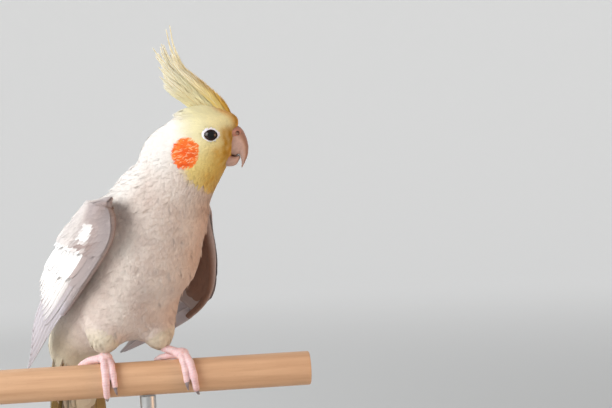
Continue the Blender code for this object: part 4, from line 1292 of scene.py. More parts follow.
def build_flights(side, edges, material, rng):
    """Primaries, secondaries and tertials as closed vanes with their shafts.

    A pale rim runs down both edges, and a notch here and there parts the barbs.
    """
    placed = flight_rows()
    start, end, _, half = placed[:4]
    rows, columns = 26, 9
    count = len(start)
    notch = np.zeros((count, rows))
    for index in range(count):
        notch[index, rng.integers(9, 22)] = rng.uniform(0.08, 0.22)
    points, s, across, normal = sheet_leaves(edges, placed, "long", rows, columns, notch)
    feather = wing_colour(s[:, -8, 4], across[:, -8, 4])[:, None, None]
    colours = 0.45 * wing_colour(s, across) + 0.55 * feather
    colours = colours * rng.normal(1.0, 0.03, count)[:, None, None, None]
    edge = np.abs(np.linspace(-1.0, 1.0, columns)) ** 6
    colours = mix(colours, WING_WHITE, 0.35 * edge)
    maps = strip_maps((end - start) * WING_LENGTH, half, rows, columns)
    put_vanes(f"flight_feathers_{side}", points, normal, 0.22, colours, maps, material, f"wing_{side}")
    put_shafts(f"flight_shafts_{side}", points, normal, 0.32, 0.22, "#A4958C", maps, material)


# Tail

TAIL_HALF_WIDTH = 6.4
TAIL_THICKNESS = 0.3


def tail_leaves(places, shape, rows, columns):
    """Feathers of the tail: straight vanes that fan from the tail's root, a little arched across.

    places holds arrays alike in length: the side as 1 or -1, the angle of the fan in degrees, the
    root's offset to its side, its layer over the tail's root, start and end along the tail, and
    half width.
    """
    t, x = (part[..., None] for part in leaf_grid(rows, columns))
    side, angle, offset, layer, start, end, half = (np.asarray(a, float)[:, None, None, None] for a in places)
    turn = np.radians(angle) * side
    run = np.cos(turn) * TAIL[0] + np.sin(turn) * TAIL[1]
    across = unit(np.cross(run, TAIL[2]))
    width = half * leaf_outline(t, shape)
    base = TAIL_ROOT + TAIL[1] * offset * side + TAIL[2] * layer
    line = base + run * (start + (end - start) * t - 0.5 * width * x**2 * t**3)
    arch = 0.1 * width * (1 - x**2) - 0.25 * x * side
    return line + across * width * x + TAIL[2] * arch


def build_tail():
    """Twelve long graduated tail feathers, with rows of coverts over and under their roots."""
    material = feather_finish("tail_feather", 0.5, 0.05, 0.62)
    i = np.repeat(np.arange(len(TAIL_LENGTHS)), 2)
    sides = np.tile([1.0, -1.0], len(TAIL_LENGTHS))
    layers = np.where(i > 0, -0.95 * (i + 1), np.where(sides > 0, 0.0, -0.93))
    offsets = np.where(i > 0, 4.2 + 0.8 * i, 2.2)
    length = np.array(TAIL_LENGTHS)[i]
    start = np.full(len(i), 8.0)
    half = np.full(len(i), TAIL_HALF_WIDTH)
    places = (sides, 0.4 + 1.5 * i, offsets, layers, start, length, half)
    points = tail_leaves(places, "long", 36, 9)
    normal = np.broadcast_to(TAIL[2], points.shape)
    cloud = ripple(points * [1, 1, 0.3], 12.0, 12)
    colours = mix(TAIL_BROWN, TAIL_YELLOW, np.clip(0.35 + 0.3 * cloud + 0.06 * i[:, None, None], 0, 1))
    maps = strip_maps(length, half, 36, 9)
    put_vanes("tail_feathers", points, normal, TAIL_THICKNESS, colours, maps, material, "tail")
    below = points - normal * TAIL_THICKNESS
    put_shafts("tail_shafts_upper", points, normal, 0.4, 0.35, "#7F6B4C", maps, material)
    put_shafts("tail_shafts_under", below, -normal, 0.4, 0.35, "#7F6B4C", maps, material)
    build_tail_coverts()


def build_tail_coverts():
    """Rows of leaves that run from the rump and vent down over the roots of the tail feathers.

    Under the tail the rows turn brown towards its feathers.
    """
    rng = np.random.default_rng(SEED + 1)
    material = feather_finish("tail_covert", 0.6, 0.05, 0.8)
    rows, columns = 8, 7
    tiers = np.repeat(np.arange(4), 7)
    count = len(tiers)
    half = np.full(count, 4.2)
    for name, way in (("upper_tail_coverts", 1.0), ("under_tail_coverts", -1.0)):
        spread = np.tile(np.linspace(-1.0, 1.0, 7), 4) + rng.normal(0, 0.05, count)
        reach = np.abs(spread)
        start = 4.0 + 7.0 * tiers
        end = start + 20.0 + 12.0 * (1 - reach) + rng.normal(0, 1.0, count)
        height = np.array([4.6, 4.0, 3.2, 2.4])[tiers] * np.sqrt(1 - (0.9 * reach) ** 2)
        offset = reach * np.array([10.0, 10.0, 9.5, 9.0])[tiers]
        side = np.where(spread >= 0, 1.0, -1.0)
        layer = -2.8 + way * (height + 1.0)
        points = tail_leaves((side, 2.5 * reach, offset, layer, start, end, half), "round", rows, columns)
        points = points[:, :, :: int(way)]
        colours = mix(VENT, CREAM, np.clip(0.3 + 0.3 * ripple(points, 14.0, 14), 0, 1))
        t, _ = leaf_grid(rows, columns)
        brown = smooth_step(tiers, 0.5, 2.5)[:, None, None] * (0.4 + 0.6 * t) * (way < 0)
        colours = mix(colours, TAIL_BROWN, brown)
        places = np.stack([0.05 + 0.9 * (spread + 1) / 2, 0.02 + 0.03 * tiers], -1)
        maps = leaf_maps(places, end - start, half, rows, columns)
        put_leaves(name, points, material, "cream_plumage", colours, maps)


# Crest

CREST_COUNT = 21
CREST_SPREAD = 4.4
CREST_BARBS = 110
# Middle lines of the crest's front, middle and back plumes, forward and up of the skull's centre.
CREST_LINES = (
    ((16.8, 7.4), (11.8, 15.4), (3.0, 24.6), (-5.4, 33.2), (-9.8, 43.5), (-11.5, 54.5)),
    ((8.0, 11.0), (0.5, 18.5), (-6.8, 26.0), (-12.2, 32.0), (-16.6, 37.8), (-20.4, 43.8)),
    ((-1.0, 13.0), (-4.6, 16.4), (-8.4, 19.4), (-12.0, 22.0), (-14.8, 23.7), (-17.4, 25.0)),
)


def crest_line(place, length_share, t):
    """The middle line of one plume: blended from the front, middle and back lines."""
    front, middle, back = (np.array(line) for line in CREST_LINES)
    first, second, share = (front, middle, 2 * place) if place < 0.5 else (middle, back, 2 * place - 1)
    return smooth_curve(first * (1 - share) + second * share, t * length_share)


def crest_plume(place, sway, length_share, rng):
    """Points of one plume's barbs, where along the shaft each starts, and the shaft's solid.

    Each barb leaves the shaft at a slant and bends towards the tip, as a strip of two faces and a
    point; barbs are long near the skull and short at the tip.
    """
    t = np.linspace(0.0, 1.0, 40)
    side = crest_line(place, length_share, t)
    lateral = sway * (0.3 + 0.7 * t) * CREST_SPREAD
    line = SKULL + np.stack([side[:, 0], lateral, side[:, 1]], -1) @ HEAD
    run = unit(np.gradient(line, axis=0))
    flat = unit(np.cross(HEAD[1], run))
    start = np.repeat(np.linspace(0.0, 0.97, CREST_BARBS), 2)
    start = start + rng.normal(0, 0.004, len(start))
    hand = np.tile([1.0, -1.0], CREST_BARBS)
    at = np.clip(start, 0, 1) * (len(t) - 1)
    low = np.minimum(at.astype(int), len(t) - 2)
    share = (at - low)[:, None]
    root = line[low] * (1 - share) + line[low + 1] * share
    way, out = run[low], flat[low] * hand[:, None]
    uneven = rng.uniform(0.75, 1.1, (2, len(start)))
    reach = np.interp(start, (0.0, 0.3, 0.6, 0.8, 1.0), (5.6, 6.6, 4.6, 2.4, 1.4)) * uneven[0]
    spread = np.interp(start, (0.0, 0.3, 0.6, 0.8, 1.0), (1.7, 1.9, 1.15, 0.4, 0.12)) * uneven[1]
    lean = HEAD[1] * rng.normal(0.0, 0.28, len(start))[:, None]
    strips = []
    for along, width in ((0.0, 0.19), (0.45, 0.16), (1.0, 0.03)):
        middle = root + way * (reach * along)[:, None] + (out + lean) * (spread * along**0.6)[:, None]
        strips.append(np.stack([middle - out * width, middle + out * width], 1))
    shaft = tube(line, np.interp(t, (0, 0.5, 1), (0.3, 0.2, 0.1)), 5, HEAD[1])
    return np.stack(strips, 1), start, shaft


def build_crest():
    """Long narrow plumes that rise off the forehead and crown, each a shaft with its barbs."""
    rng = np.random.default_rng(SEED + 2)
    material = feather_finish("crest_plume", 0.5, 0.03, 0.75)
    strips = []
    tones = []
    stalks = []
    for index in range(CREST_COUNT):
        place = index / (CREST_COUNT - 1)
        sway = (-1) ** index * rng.uniform(0.05, 0.75)
        share = 1.0 if index in (0, 2, CREST_COUNT // 2) else rng.uniform(0.7, 0.94)
        barbs, start, shaft = crest_plume(place, sway, share, rng)
        front = within((place, 0.16, 0.0), (start, 0.75, 0.2))
        tone = mix(MID_YELLOW, PALE_YELLOW, smooth_step(place, 0.05, 0.4))
        tone = mix(tone, DEEP_YELLOW, front * 0.6)
        tone = mix(tone, linear("#F3EFDC"), smooth_step(start, 0.15, 0.8) * 0.85)
        tones.append(tone * rng.normal(1.0, 0.05, len(start))[:, None])
        strips.append(barbs)
        stalks.append(shaft)
    strips = np.concatenate(strips)
    tones = np.concatenate(tones)[:, None, None]
    index = np.arange(len(strips))
    row = index // 128
    places = np.stack([0.02 + 0.95 * (index % 128) / 128, 0.05 + 0.9 * row / (row[-1] + 1)], -1)
    none = np.zeros(len(strips))
    maps = leaf_maps(places, none, none, 3, 2)
    put_leaves("crest_barbs", strips, material, "yellow_plumage", tones, maps, ("crest",))
    points, faces = joined(stalks)
    flat = {"OFBake": (0.5, 0.5), "Vane": (0.0, 0.0)}
    put_mesh("crest_shafts", points, faces, material, "yellow_plumage", (), linear("#DCC88E"), flat)


# Eyes, bill and cere


def build_eyes():
    """Both eyeballs, dark with a brown rim to the iris, and the bare ring of skin round each."""
    wet = eye_finish()
    bare = hide_finish("bare_eye_ring", 0.55, 0.5, 0.08, 0.2)
    lid = mix(linear("#4A3234"), RING_WHITE, smooth_step(np.array(RING_PROFILE)[:, 0], 2.85, 3.12))
    for side, name in ((1, "left"), (-1, "right")):
        axes = eye_axes(side)
        points, faces = ball(eye_centre(side), (EYE_RADIUS,) * 3, axes, 36, 48)
        off_axis = np.degrees(np.arccos(np.clip(unit(points - eye_centre(side)) @ axes[0], -1, 1)))
        colour = mix(linear("#050506"), linear("#2A1410"), smooth_step(off_axis, 25.0, 34.0))
        colour = mix(colour, linear("#0C0606"), smooth_step(off_axis, 42.0, 50.0))
        put_mesh(f"eyeball_{name}", points, faces, wet, "eye", (f"eye_{name}",), colour)
        put_mesh(f"eye_ring_{name}", *eye_ring(side), bare, "pink_skin", (), lid)


RING_AROUND = 96
# The eye ring's section: distance from the eye's axis, and height over the edge of the opening.
RING_PROFILE = (
    (2.85, -1.1), (2.9, -0.25), (3.0, 0.2), (3.2, 0.42), (3.45, 0.38), (3.7, 0.2), (4.0, 0.0),
    (4.3, -0.25), (4.6, -0.6), (4.9, -1.1), (5.2, -1.9), (5.2, -4.0), (3.0, -4.0),
)


def eye_ring(side):
    """A ring turned round the eye's axis, drawn out to a corner before and behind, with fine folds."""
    axes = eye_axes(side)
    rim = math.sqrt(EYE_RADIUS**2 - EYE_OPENING**2)
    turn = full_turn(RING_AROUND)[:, None]
    reach, height = np.array(RING_PROFILE).T[:, None]
    corner = 1 + 0.07 * np.abs(np.cos(turn)) ** 6 * (height > -1.0)
    folds = 0.05 * np.sin(turn * 17) * within((reach, 3.0, 3.6), (reach, 5.3, 4.6))
    spoke = np.cos(turn)[..., None] * axes[1] + EYE_FLATTEN * np.sin(turn)[..., None] * axes[2]
    points = eye_centre(side) + spoke * (reach * corner)[..., None]
    points = points + axes[0] * (rim + height + folds)[..., None]
    index = np.arange(reach.size * RING_AROUND).reshape(RING_AROUND, -1)
    after = np.roll(index, -1, axis=0)
    quads = np.stack([index, np.roll(index, -1, axis=1), np.roll(after, -1, axis=1), after], -1)
    return points, [quads.reshape(-1, 4)]


# Side outlines of the bill, forward and up of the skull's centre, from its root to its tip.
CULMEN = (
    (13.5, 5.2), (18.6, 4.4), (21.8, 1.6), (23.8, -4.6), (23.5, -9.8), (22.0, -13.4), (20.3, -16.4),
)
TOMIUM = (
    (11.0, -6.0), (14.3, -9.2), (17.0, -10.6), (19.2, -9.8), (20.0, -11.4), (20.3, -13.8), (20.1, -16.1),
)
BILL_HALF_WIDTHS = (5.8, 5.6, 4.9, 3.9, 2.8, 1.5, 0.35)
LOWER_TOP = ((11.0, -7.0), (14.2, -9.2), (17.0, -10.4), (19.3, -10.0))
LOWER_BOTTOM = ((10.5, -14.6), (14.0, -15.4), (17.4, -14.8), (19.7, -11.6))
LOWER_HALF_WIDTHS = (4.6, 4.3, 3.4, 1.8)
CERE_PLACE = (17.3, 0.0, 0.6)
CERE_RADII = (4.5, 6.1, 3.5)


def profile_loft(upper, lower, half_widths, count, around, keel):
    """Rings between two outlines in the head's middle plane; keel under 1 makes the sides fuller.

    Gives the rings, how high each point is from -1 to 1, and how far along each ring is.
    """
    places = np.linspace(0.0, 1.0, count)
    top = smooth_curve(upper, places)[:, None]
    bottom = smooth_curve(lower, places)[:, None]
    widths = smooth_curve(np.array(half_widths)[:, None], places)
    turn = full_turn(around)[None, :, None]
    plane = (top + bottom) / 2 + np.cos(turn) * (top - bottom) / 2
    lateral = (np.sign(np.sin(turn)) * np.abs(np.sin(turn)) ** keel)[..., 0] * widths
    rings = SKULL + np.stack([plane[..., 0], lateral, plane[..., 1]], -1) @ HEAD
    return rings[:, ::-1], np.broadcast_to(np.cos(turn)[:, ::-1, 0], rings.shape[:2]), places


def build_bill():
    """Hooked upper bill, the scoop of the lower one, and the cere with its two nostrils."""
    horn = hide_finish("bill_horn", 0.42, 0.9, 0.05, 0.15)
    rings, height, places = profile_loft(CULMEN, TOMIUM, BILL_HALF_WIDTHS, 72, 48, 0.86)
    growth = 0.04 * np.sin(places * 60)[:, None, None]
    rings = rings + unit(rings - rings.mean(1, keepdims=True)) * growth
    colour = mix(BILL_SIDE, BILL_RIDGE, smooth_step(height, 0.25, 0.75) * 0.85)
    # Painted shade: a dark line along the cutting edge, for the gap between the bills.
    colour = mix(colour, BILL_GAPE_SHADE, smooth_step(height, -0.82, -0.97) * 0.8)
    colour = colour * (1 - 0.12 * smooth_step(places, 0.75, 1.0)[:, None, None])
    colour = colour * (1 + 0.05 * ripple(rings, 2.2, 15)[..., None])
    colours = np.vstack([colour.reshape(-1, 3), BILL_SIDE, BILL_RIDGE])
    put_mesh("upper_bill", *ring_solid(rings), horn, "horn", ("bill_upper",), colours)
    rings, height, _ = profile_loft(LOWER_TOP, LOWER_BOTTOM, LOWER_HALF_WIDTHS, 40, 40, 0.9)
    # Painted shade: dark along the top edge, for the gap under the upper bill.
    colour = mix(BILL_SIDE * 0.95, BILL_GAPE_SHADE, smooth_step(height, 0.7, 0.95) * 0.9)
    colours = np.vstack([colour.reshape(-1, 3), BILL_SIDE, BILL_SIDE])
    put_mesh("lower_bill", *ring_solid(rings), horn, "horn", ("bill_lower",), colours)
    build_cere()


def build_cere():
    """Fleshy swelling at the root of the bill; each nostril is a small pit pressed into it."""
    flesh = hide_finish("cere_skin", 0.5, 0.45, 0.08, 0.25)
    points, faces = ball(in_head(*CERE_PLACE), CERE_RADII, HEAD, 72, 96)
    colour = CERE_PINK * (1 + 0.06 * ripple(points, 2.0, 16)[:, None])
    for side in (-1, 1):
        mouth = in_head(19.6, side * 5.2, 0.5)
        reach = np.linalg.norm((points - mouth) @ HEAD.T * (1.0, 0.6, 1.0), axis=-1)
        inward = unit(in_head(18.0, side * 2.0, 0.2) - mouth)
        rim = 0.08 * np.exp(-(((reach - 1.3) / 0.35) ** 2))
        points = points + inward * (1.9 * smooth_step(reach, 0.95, 0.3) - rim)[:, None]
        # Painted shade: each nostril's pit is coloured a very dark red, for the shade inside it.
        colour = mix(colour, NOSTRIL_SHADE_RED, smooth_step(reach, 1.2, 0.8))
    put_mesh("cere_flesh", points, faces, flesh, "pink_skin", ("cere",), colour)


# Feet

TARSUS_RADIUS = 2.1
TOE_RADII = (2.35, 2.25, 2.1, 1.95, 1.85, 1.65)
TOE_GAP = 0.1
ANKLE_HEIGHT = 18.5
CLAW_TURN = 34.0
CLAW_RADIUS = 1.15
# Width of a face of the feet before smoothing, and length of the scutes across toes and leg.
FOOT_CELL = 0.3
SCUTE_LENGTH = 1.25
# Each toe: where it starts and ends along the dowel, how far round the dowel it goes from the
# top towards the breast side in degrees, and the share of a full toe's thickness.
FEET = {
    "right": {
        "ball": (-20.5, -1.5),
        "tarsus_top": (-20.4, -0.6),
        "toes": {
            "outer_front": (-20.8, -20.2, 8.0, 132.0, 1.0),
            "inner_front": (-19.0, -16.0, 8.0, 100.0, 0.9),
            "outer_back": (-22.0, -34.0, -8.0, -62.0, 1.0),
            "inner_back": (-19.5, -16.5, -8.0, -58.0, 0.85),
        },
    },
    "left": {
        "ball": (17.5, -1.5),
        "tarsus_top": (7.8, 2.0),
        "toes": {
            "outer_front": (18.6, 24.0, 8.0, 124.0, 1.0),
            "inner_front": (17.0, 19.4, 8.0, 98.0, 0.9),
            "outer_back": (18.0, 22.0, -10.0, -80.0, 1.0),
            "inner_back": (16.0, 5.5, -6.0, -34.0, 0.85),
        },
    },
}


def around_dowel(x, angle, clear):
    """A point clear mm off the dowel, angle degrees from its top towards the breast side."""
    turn = np.radians(angle)
    reach = DOWEL_RADIUS + clear
    return np.stack([x + 0 * turn, -reach * np.sin(turn), reach * np.cos(turn)], -1)


def toe_path(toe):
    """Centre line of one toe, round the dowel's own curve, with a swelling under each joint."""
    start_x, end_x, start_angle, end_angle, share = toe
    t = np.linspace(0.0, 1.0, 30)
    radii = np.interp(t, np.linspace(0, 1, len(TOE_RADII)), TOE_RADII) * share
    bend = np.sin(math.pi * t) * 0.12 * (end_x - start_x)
    x = start_x + (end_x - start_x) * t**0.8 + bend
    path = around_dowel(x, start_angle + (end_angle - start_angle) * t, radii + TOE_GAP)
    return path, radii * (0.97 + 0.05 * np.cos(t * 6 * math.pi))


def build_feet():
    """Each foot: its tarsus, ball and four toes grown into one skin, and four curved claws."""
    flesh = hide_finish("scaled_foot", 0.5, 0.8, 0.12, 0.3)
    horn = hide_finish("claw_horn_grey", 0.35, 0.7, 0.03, 0.05)
    for side, foot in FEET.items():
        centre = np.array([*foot["ball"], DOWEL_RADIUS + 3.0])
        top = np.array([*foot["tarsus_top"], ANKLE_HEIGHT])
        bend = top * 0.95 + centre * 0.05 - [0, 0, 3.0]
        leg = smooth_curve((top, bend, centre), np.linspace(0, 1, 24))
        solids = [tube(leg, np.full(24, TARSUS_RADIUS), 20, (0, 1, 0))]
        solids.append(ball(centre, (4.1, 3.7, 2.9), np.eye(3)))
        lines = [leg]
        for toe in foot["toes"].values():
            path, radii = toe_path(toe)
            solids += [tube(path, radii, 20, (1, 0, 0)), ball(path[-1], (radii[-1],) * 3, np.eye(3), 12, 16)]
            lines.append(path)
        grow_foot(side, solids, lines, flesh)
        points, faces = joined([claw_shape(toe) for toe in foot["toes"].values()])
        share = np.clip(0.5 + 0.5 * ripple(points, 3.0, 18), 0, 1)
        tones = mix(CLAW_GREY, linear("#A89CA0"), share * 0.5)
        nodes = [f"claw_{side}_{toe}" for toe in foot["toes"]]
        put_mesh(f"claws_{side}", points, faces, horn, "claw_horn", nodes, tones)


def grow_foot(side, solids, lines, flesh):
    """Joins the parts of a foot into one smooth skin, with scutes across the toes and the leg.

    How far along its nearest line each point is gives the grooves between the scutes.
    """
    points, quads = grown_together(solids, FOOT_CELL, flesh)
    for _ in range(5):
        points = points + 0.6 * (neighbour_mean(points, quads) - points)
    nearest = np.full(len(points), 1e9)
    along = np.zeros(len(points))
    fine = np.linspace(0, 1, 160)
    for path in lines:
        steps = np.concatenate([[0], np.cumsum(np.linalg.norm(np.diff(path, axis=0), axis=-1))])
        gaps = np.linalg.norm(points[:, None] - smooth_curve(path, fine)[None], axis=-1)
        gap = gaps.min(axis=1)
        place = np.interp(fine[gaps.argmin(axis=1)], np.linspace(0, 1, len(path)), steps)
        along = np.where(gap < nearest, place, along)
        nearest = np.minimum(gap, nearest)
    top = smooth_step(np.hypot(points[:, 1], points[:, 2]) - DOWEL_RADIUS, 1.5, 3.2)
    groove = np.abs(np.sin(along * math.pi / SCUTE_LENGTH)) ** 0.5
    inward = unit(points * [0, -1, -1])
    points = points + inward * (0.1 * top * (1 - groove))[:, None]
    # Painted shade: darker in the grooves between the scutes, away from the dowel; the ripple adds the skin's
    # own random mottle.
    shade = (1 - groove) * top * 0.5 + 0.3 * ripple(points, 4.0, 19)
    colour = mix(FOOT_PINK, FOOT_SHADE_AND_MOTTLE, np.clip(shade, 0, 1))
    # Nothing sinks into the dowel.
    out = (DOWEL_RADIUS + 0.12) / np.maximum(np.hypot(points[:, 1], points[:, 2]), 1e-6)
    points[:, 1:] *= np.maximum(out, 1.0)[:, None]
    put_mesh(f"foot_skin_{side}", points, [quads], flesh, "pink_skin", (f"foot_{side}",), colour)


def claw_shape(toe):
    """A curved claw off the end of one toe, clear of the dowel, fine to its point."""
    start_x, end_x, _, end_angle, share = toe
    drift = np.clip(end_x - start_x, -6.0, 6.0) / 3.0
    t = np.linspace(-0.12, 1.0, 24)
    past = np.clip(t, 0, 1)
    thick = CLAW_RADIUS * (1 - 0.86 * past)
    drop = (TOE_RADII[-1] * share - CLAW_RADIUS) * (1 - past) ** 2
    clear = 0.3 + thick + drop + 1.2 * np.sin(math.pi * past * 0.8)
    angles = end_angle + math.copysign(CLAW_TURN, end_angle) * t
    return tube(around_dowel(end_x + drift * t, angles, clear), thick, 16, (1.0, 0.0, 0.0))


# Stand

# Radius of the small ring of points round a turned piece's axis, inside the fan that closes it.
AXIS_GAP = 0.4


def turned(name, profile, material, slot, replaced, axis, centre, around):
    """A turned piece: profile is pairs of distance along the axis and radius, in mm."""
    axis = np.array(axis, float)
    across = unit(np.cross(axis, [0.0, 1.0, 0.0]))
    deep = np.cross(axis, across)
    turn = full_turn(around)[None, :, None]
    along, radius = np.array(profile).T[:, :, None, None]
    rings = np.array(centre) + axis * along + radius * (np.cos(turn) * across + np.sin(turn) * deep)
    piece = put_mesh(name, *ring_solid(rings), material, slot, (replaced,))
    piece.data.set_sharp_from_angle(angle=math.radians(40))


def rounded(end, radius, edge, steps):
    """Part of a turned outline: out from the end, round a quarter circle of radius edge."""
    angle = np.linspace(0.0, math.pi / 2, steps)
    return [(end + edge - edge * math.cos(a), radius - edge + edge * math.sin(a)) for a in angle]


def build_stand():
    """The dowel with softened ends, the round base with a rounded upper edge, and the rod."""
    wood = beech_finish()
    half = [(-DOWEL_HALF, AXIS_GAP)] + rounded(-DOWEL_HALF, DOWEL_RADIUS, 1.0, 6)
    outline = half + [(-along, radius) for along, radius in reversed(half)]
    turned("dowel", outline, wood, "beech", "perch", (1, 0, 0), (0, 0, 0), 96)
    floor = (0, 0, -DOWEL_CENTRE[2])
    thick = BASE_HIGH[2] - BASE_LOW[2]
    radius = (BASE_HIGH[0] - BASE_LOW[0]) / 2
    top = [(thick - along, reach) for along, reach in reversed(rounded(0.0, radius, 2.5, 8))]
    outline = [(0.0, AXIS_GAP), (0.0, radius - 1.0), (1.0, radius)] + top + [(thick, AXIS_GAP)]
    turned("stand_disc", outline, wood, "beech", "stand_base", (0, 0, 1), floor, 128)
    radius = (ROD_HIGH[0] - ROD_LOW[0]) / 2
    foot, head = thick + 0.02, ROD_HIGH[2]
    outline = [(foot, AXIS_GAP), (foot, radius), (head, radius), (head, AXIS_GAP)]
    turned("stand_upright", outline, steel_finish(), "satin_steel", "stand_rod", (0, 0, 1), floor, 48)


# Stage

PICTURE = (612, 408)
DOWEL_IN_PICTURE = (147.0, 378.0)
VIEW_AZIMUTH = -6.0
VIEW_ELEVATION = 1.5
VIEW_ROLL = 2.9
SENSOR_WIDTH = 36.0
BIRD_MIDDLE = (0.0, 0.0, 0.22)
# The stage, in millimetres: its floor, the round of the sweep, and the wall's top.
FLOOR_RADIUS = 2600.0
SWEEP = 800.0
WALL_TOP = 4200.0
# What the far backdrop gives off itself, so that it stays as pale as a lit wall.
BACKDROP_GLOW = 0.22


def place_in_scene(name, data, right, up, back, place):
    """Links an object whose own X, Y and Z are right, up and back, at a place in metres."""
    matrix = np.eye(4)
    matrix[:3] = np.stack([right, up, back, place], 1)
    obj = bpy.data.objects.new(name, data)
    bpy.context.scene.collection.objects.link(obj)
    obj.matrix_world = Matrix(matrix.tolist())
    return obj


def build_camera(distance, lens):
    """The camera looks along the photograph's line, rolled as it is, with the dowel in its place."""
    azimuth, elevation, roll = np.radians([VIEW_AZIMUTH, VIEW_ELEVATION, VIEW_ROLL])
    level = np.array([math.cos(azimuth), math.sin(azimuth), 0.0])
    away = np.array([-math.sin(azimuth), math.cos(azimuth), 0.0])
    ahead = away * math.cos(elevation) - np.array([0.0, 0.0, math.sin(elevation)])
    upright = np.cross(level, ahead)
    right = math.cos(roll) * level - math.sin(roll) * upright
    up = math.sin(roll) * level + math.cos(roll) * upright
    pixel = distance * SENSOR_WIDTH / lens / PICTURE[0]
    x = (DOWEL_IN_PICTURE[0] - PICTURE[0] / 2) * pixel
    y = (PICTURE[1] / 2 - DOWEL_IN_PICTURE[1]) * pixel
    data = bpy.data.cameras.new("camera")
    data.lens = lens
    data.sensor_width = SENSOR_WIDTH
    data.clip_start = 0.05
    data.clip_end = 30.0
    place = DOWEL_CENTRE * MM - (x * right + y * up + distance * ahead)
    bpy.context.scene.camera = place_in_scene("camera", data, right, up, -ahead, place)


def soft_light(name, place, size, power, colour, spread=180.0):
    """A square soft box in metres that faces the middle of the bird; spread is its beam in degrees."""
    data = bpy.data.lights.new(name, "AREA")
    data.spread = math.radians(spread)
    data.size = size
    data.energy = power
    data.color = colour
    away = unit(np.array(place) - BIRD_MIDDLE)
    side = unit(np.cross([0.0, 0.0, 1.0], away))
    place_in_scene(name, data, side, np.cross(away, side), away, place)


def build_stage(colour, key_power):
    """A round pale floor, a wall that sweeps up all round it, soft boxes and a pale sky."""
    angle = np.linspace(0.0, math.pi / 2, 24)
    floor = [(reach, 0.0) for reach in (0.0, 400.0, 1200.0, FLOOR_RADIUS)]
    sweep = [(FLOOR_RADIUS + SWEEP * math.sin(a), SWEEP - SWEEP * math.cos(a)) for a in angle]
    turn = np.linspace(0.0, 2 * math.pi, 97)[None, :]
    for name, section in (("floor", floor), ("backdrop", sweep + [(FLOOR_RADIUS + SWEEP, WALL_TOP)])):
        reach, height = np.array(section).T[:, :, None]
        points = np.stack([reach * np.cos(turn), reach * np.sin(turn), height + 0 * turn], -1)
        mesh = bpy.data.meshes.new(name)
        faces = sheet_faces(1, *points.shape[:2])
        mesh.from_pydata((points.reshape(-1, 3) * MM).tolist(), [], faces.tolist())
        mesh.shade_smooth()
        mesh.materials.append(backdrop_finish(colour))
        piece = bpy.data.objects.new(name, mesh)
        bpy.context.scene.collection.objects.link(piece)
        # Sky light passes the wall, as the wall only stands for an even pale background.
        piece.visible_diffuse = name == "floor"
        piece.visible_shadow = name == "floor"
    soft_light("window_light", (-1.0, -0.55, 0.7), 0.8, key_power, (1.0, 0.985, 0.97))
    soft_light("bounce_light", (0.95, -0.45, 0.3), 0.5, key_power * 0.036, (1.0, 0.54, 0.24), 60.0)
    soft_light("rim_light", (-0.7, 0.9, 0.8), 0.7, key_power * 0.4, (0.95, 0.97, 1.0))
    world = bpy.data.worlds.new("studio")
    world.use_nodes = True
    sky = world.node_tree.nodes["Background"]
    sky.inputs["Color"].default_value = (0.93, 0.94, 0.96, 1.0)
    sky.inputs["Strength"].default_value = 0.5
    bpy.context.scene.world = world
    bpy.context.scene.view_settings.view_transform = "Standard"


# Settings, operators and panel


class CockatielPlumage(bpy.types.PropertyGroup):
    """How the skin is meshed and how the coat grows."""

    skin_cell: bpy.props.FloatProperty(
        name="Skin cell", description="Width of one face of the skin, in millimetres", default=1.0, min=0.5
    )
    feather_length: bpy.props.FloatProperty(
        name="Feather length", description="Length of the body feathers, as a share", default=1.0,
        subtype="FACTOR",
    )
    density: bpy.props.FloatProperty(
        name="Density", description="Roots for each length of skin, as a share", default=1.42, min=0.3
    )


class CockatielStage(bpy.types.PropertyGroup):
    """Camera, backdrop and light."""

    distance: bpy.props.FloatProperty(
        name="Distance", description="From the camera to the dowel", default=0.85, unit="LENGTH"
    )
    lens: bpy.props.FloatProperty(
        name="Lens", description="Focal length", default=100.0, unit="CAMERA"
    )
    backdrop: bpy.props.FloatVectorProperty(
        name="Backdrop", description="Colour of the floor and backdrop", size=3, subtype="COLOR",
        default=tuple(linear("#ECECEA")),
    )
    key_power: bpy.props.FloatProperty(
        name="Window light", description="Power of the main soft box", default=15.0, unit="POWER"
    )


class CockatielBody(bpy.types.Operator):
    """Builds the skin and the coat of small feathers on it"""

    bl_idname = "cockatiel.body"
    bl_label = "Skin and coat"

    def execute(self, context):
        settings = context.scene.cockatiel_plumage
        points, quads = build_skin(settings.skin_cell)
        build_coat(points, quads, settings.feather_length, settings.density)
        return {"FINISHED"}


class CockatielWings(bpy.types.Operator):
    """Builds both folded wings with their coverts and flight feathers"""

    bl_idname = "cockatiel.wings"
    bl_label = "Wings"

    def execute(self, context):
        build_wings()
        return {"FINISHED"}


class CockatielTail(bpy.types.Operator):
    """Builds the tail feathers and their coverts"""

    bl_idname = "cockatiel.tail"
    bl_label = "Tail"

    def execute(self, context):
        build_tail()
        return {"FINISHED"}


class CockatielCrest(bpy.types.Operator):
    """Builds the plumes of the crest"""

    bl_idname = "cockatiel.crest"
    bl_label = "Crest"

    def execute(self, context):
        build_crest()
        return {"FINISHED"}


class CockatielFace(bpy.types.Operator):
    """Builds the eyes with their bare rings, the bill and the cere"""

    bl_idname = "cockatiel.face"
    bl_label = "Eyes and bill"

    def execute(self, context):
        build_eyes()
        build_bill()
        return {"FINISHED"}


class CockatielFeet(bpy.types.Operator):
    """Builds both feet and their claws"""

    bl_idname = "cockatiel.feet"
    bl_label = "Feet"

    def execute(self, context):
        build_feet()
        return {"FINISHED"}


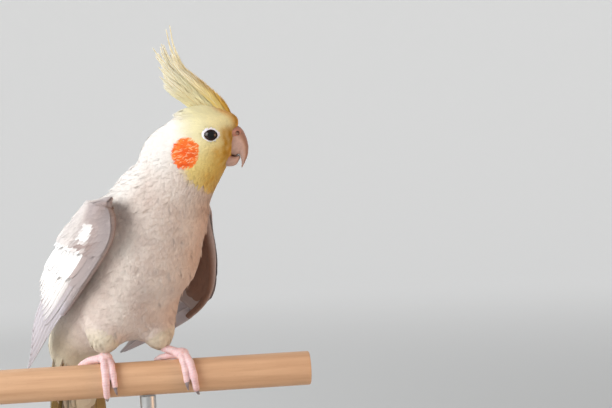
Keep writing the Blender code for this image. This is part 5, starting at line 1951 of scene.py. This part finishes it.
class CockatielStand(bpy.types.Operator):
    """Builds the dowel, the round base and the rod"""

    bl_idname = "cockatiel.stand"
    bl_label = "Stand"

    def execute(self, context):
        build_stand()
        return {"FINISHED"}


class CockatielStageBuild(bpy.types.Operator):
    """Builds the backdrop, the soft boxes and the camera"""

    bl_idname = "cockatiel.stage"
    bl_label = "Stage"

    def execute(self, context):
        settings = context.scene.cockatiel_stage
        build_stage(settings.backdrop, settings.key_power)
        build_camera(settings.distance, settings.lens)
        return {"FINISHED"}


BUILD_OPERATORS = (
    CockatielBody,
    CockatielWings,
    CockatielTail,
    CockatielCrest,
    CockatielFace,
    CockatielFeet,
    CockatielStand,
    CockatielStageBuild,
)


class CockatielPanel(bpy.types.Panel):
    """Lists the settings and the pieces in building order"""

    bl_idname = "VIEW3D_PT_cockatiel"
    bl_label = "Cockatiel"
    bl_space_type = "VIEW_3D"
    bl_region_type = "UI"
    bl_category = "Cockatiel"

    def draw(self, context):
        for settings in (context.scene.cockatiel_plumage, context.scene.cockatiel_stage):
            for name in settings.__annotations__:
                self.layout.prop(settings, name)
        for operator in BUILD_OPERATORS:
            self.layout.operator(operator.bl_idname)


CLASSES = (CockatielPlumage, CockatielStage, *BUILD_OPERATORS, CockatielPanel)


def register():
    for cls in CLASSES:
        bpy.utils.register_class(cls)
    bpy.types.Scene.cockatiel_plumage = bpy.props.PointerProperty(type=CockatielPlumage)
    bpy.types.Scene.cockatiel_stage = bpy.props.PointerProperty(type=CockatielStage)


def unregister():
    del bpy.types.Scene.cockatiel_stage
    del bpy.types.Scene.cockatiel_plumage
    for cls in reversed(CLASSES):
        bpy.utils.unregister_class(cls)


def main():
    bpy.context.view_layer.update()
    register()
    bpy.ops.cockatiel.body()
    bpy.ops.cockatiel.wings()
    bpy.ops.cockatiel.tail()
    bpy.ops.cockatiel.crest()
    bpy.ops.cockatiel.face()
    bpy.ops.cockatiel.feet()
    bpy.ops.cockatiel.stand()
    bpy.ops.cockatiel.stage()
    bpy.context.view_layer.update()


if __name__ == "__main__":
    main()
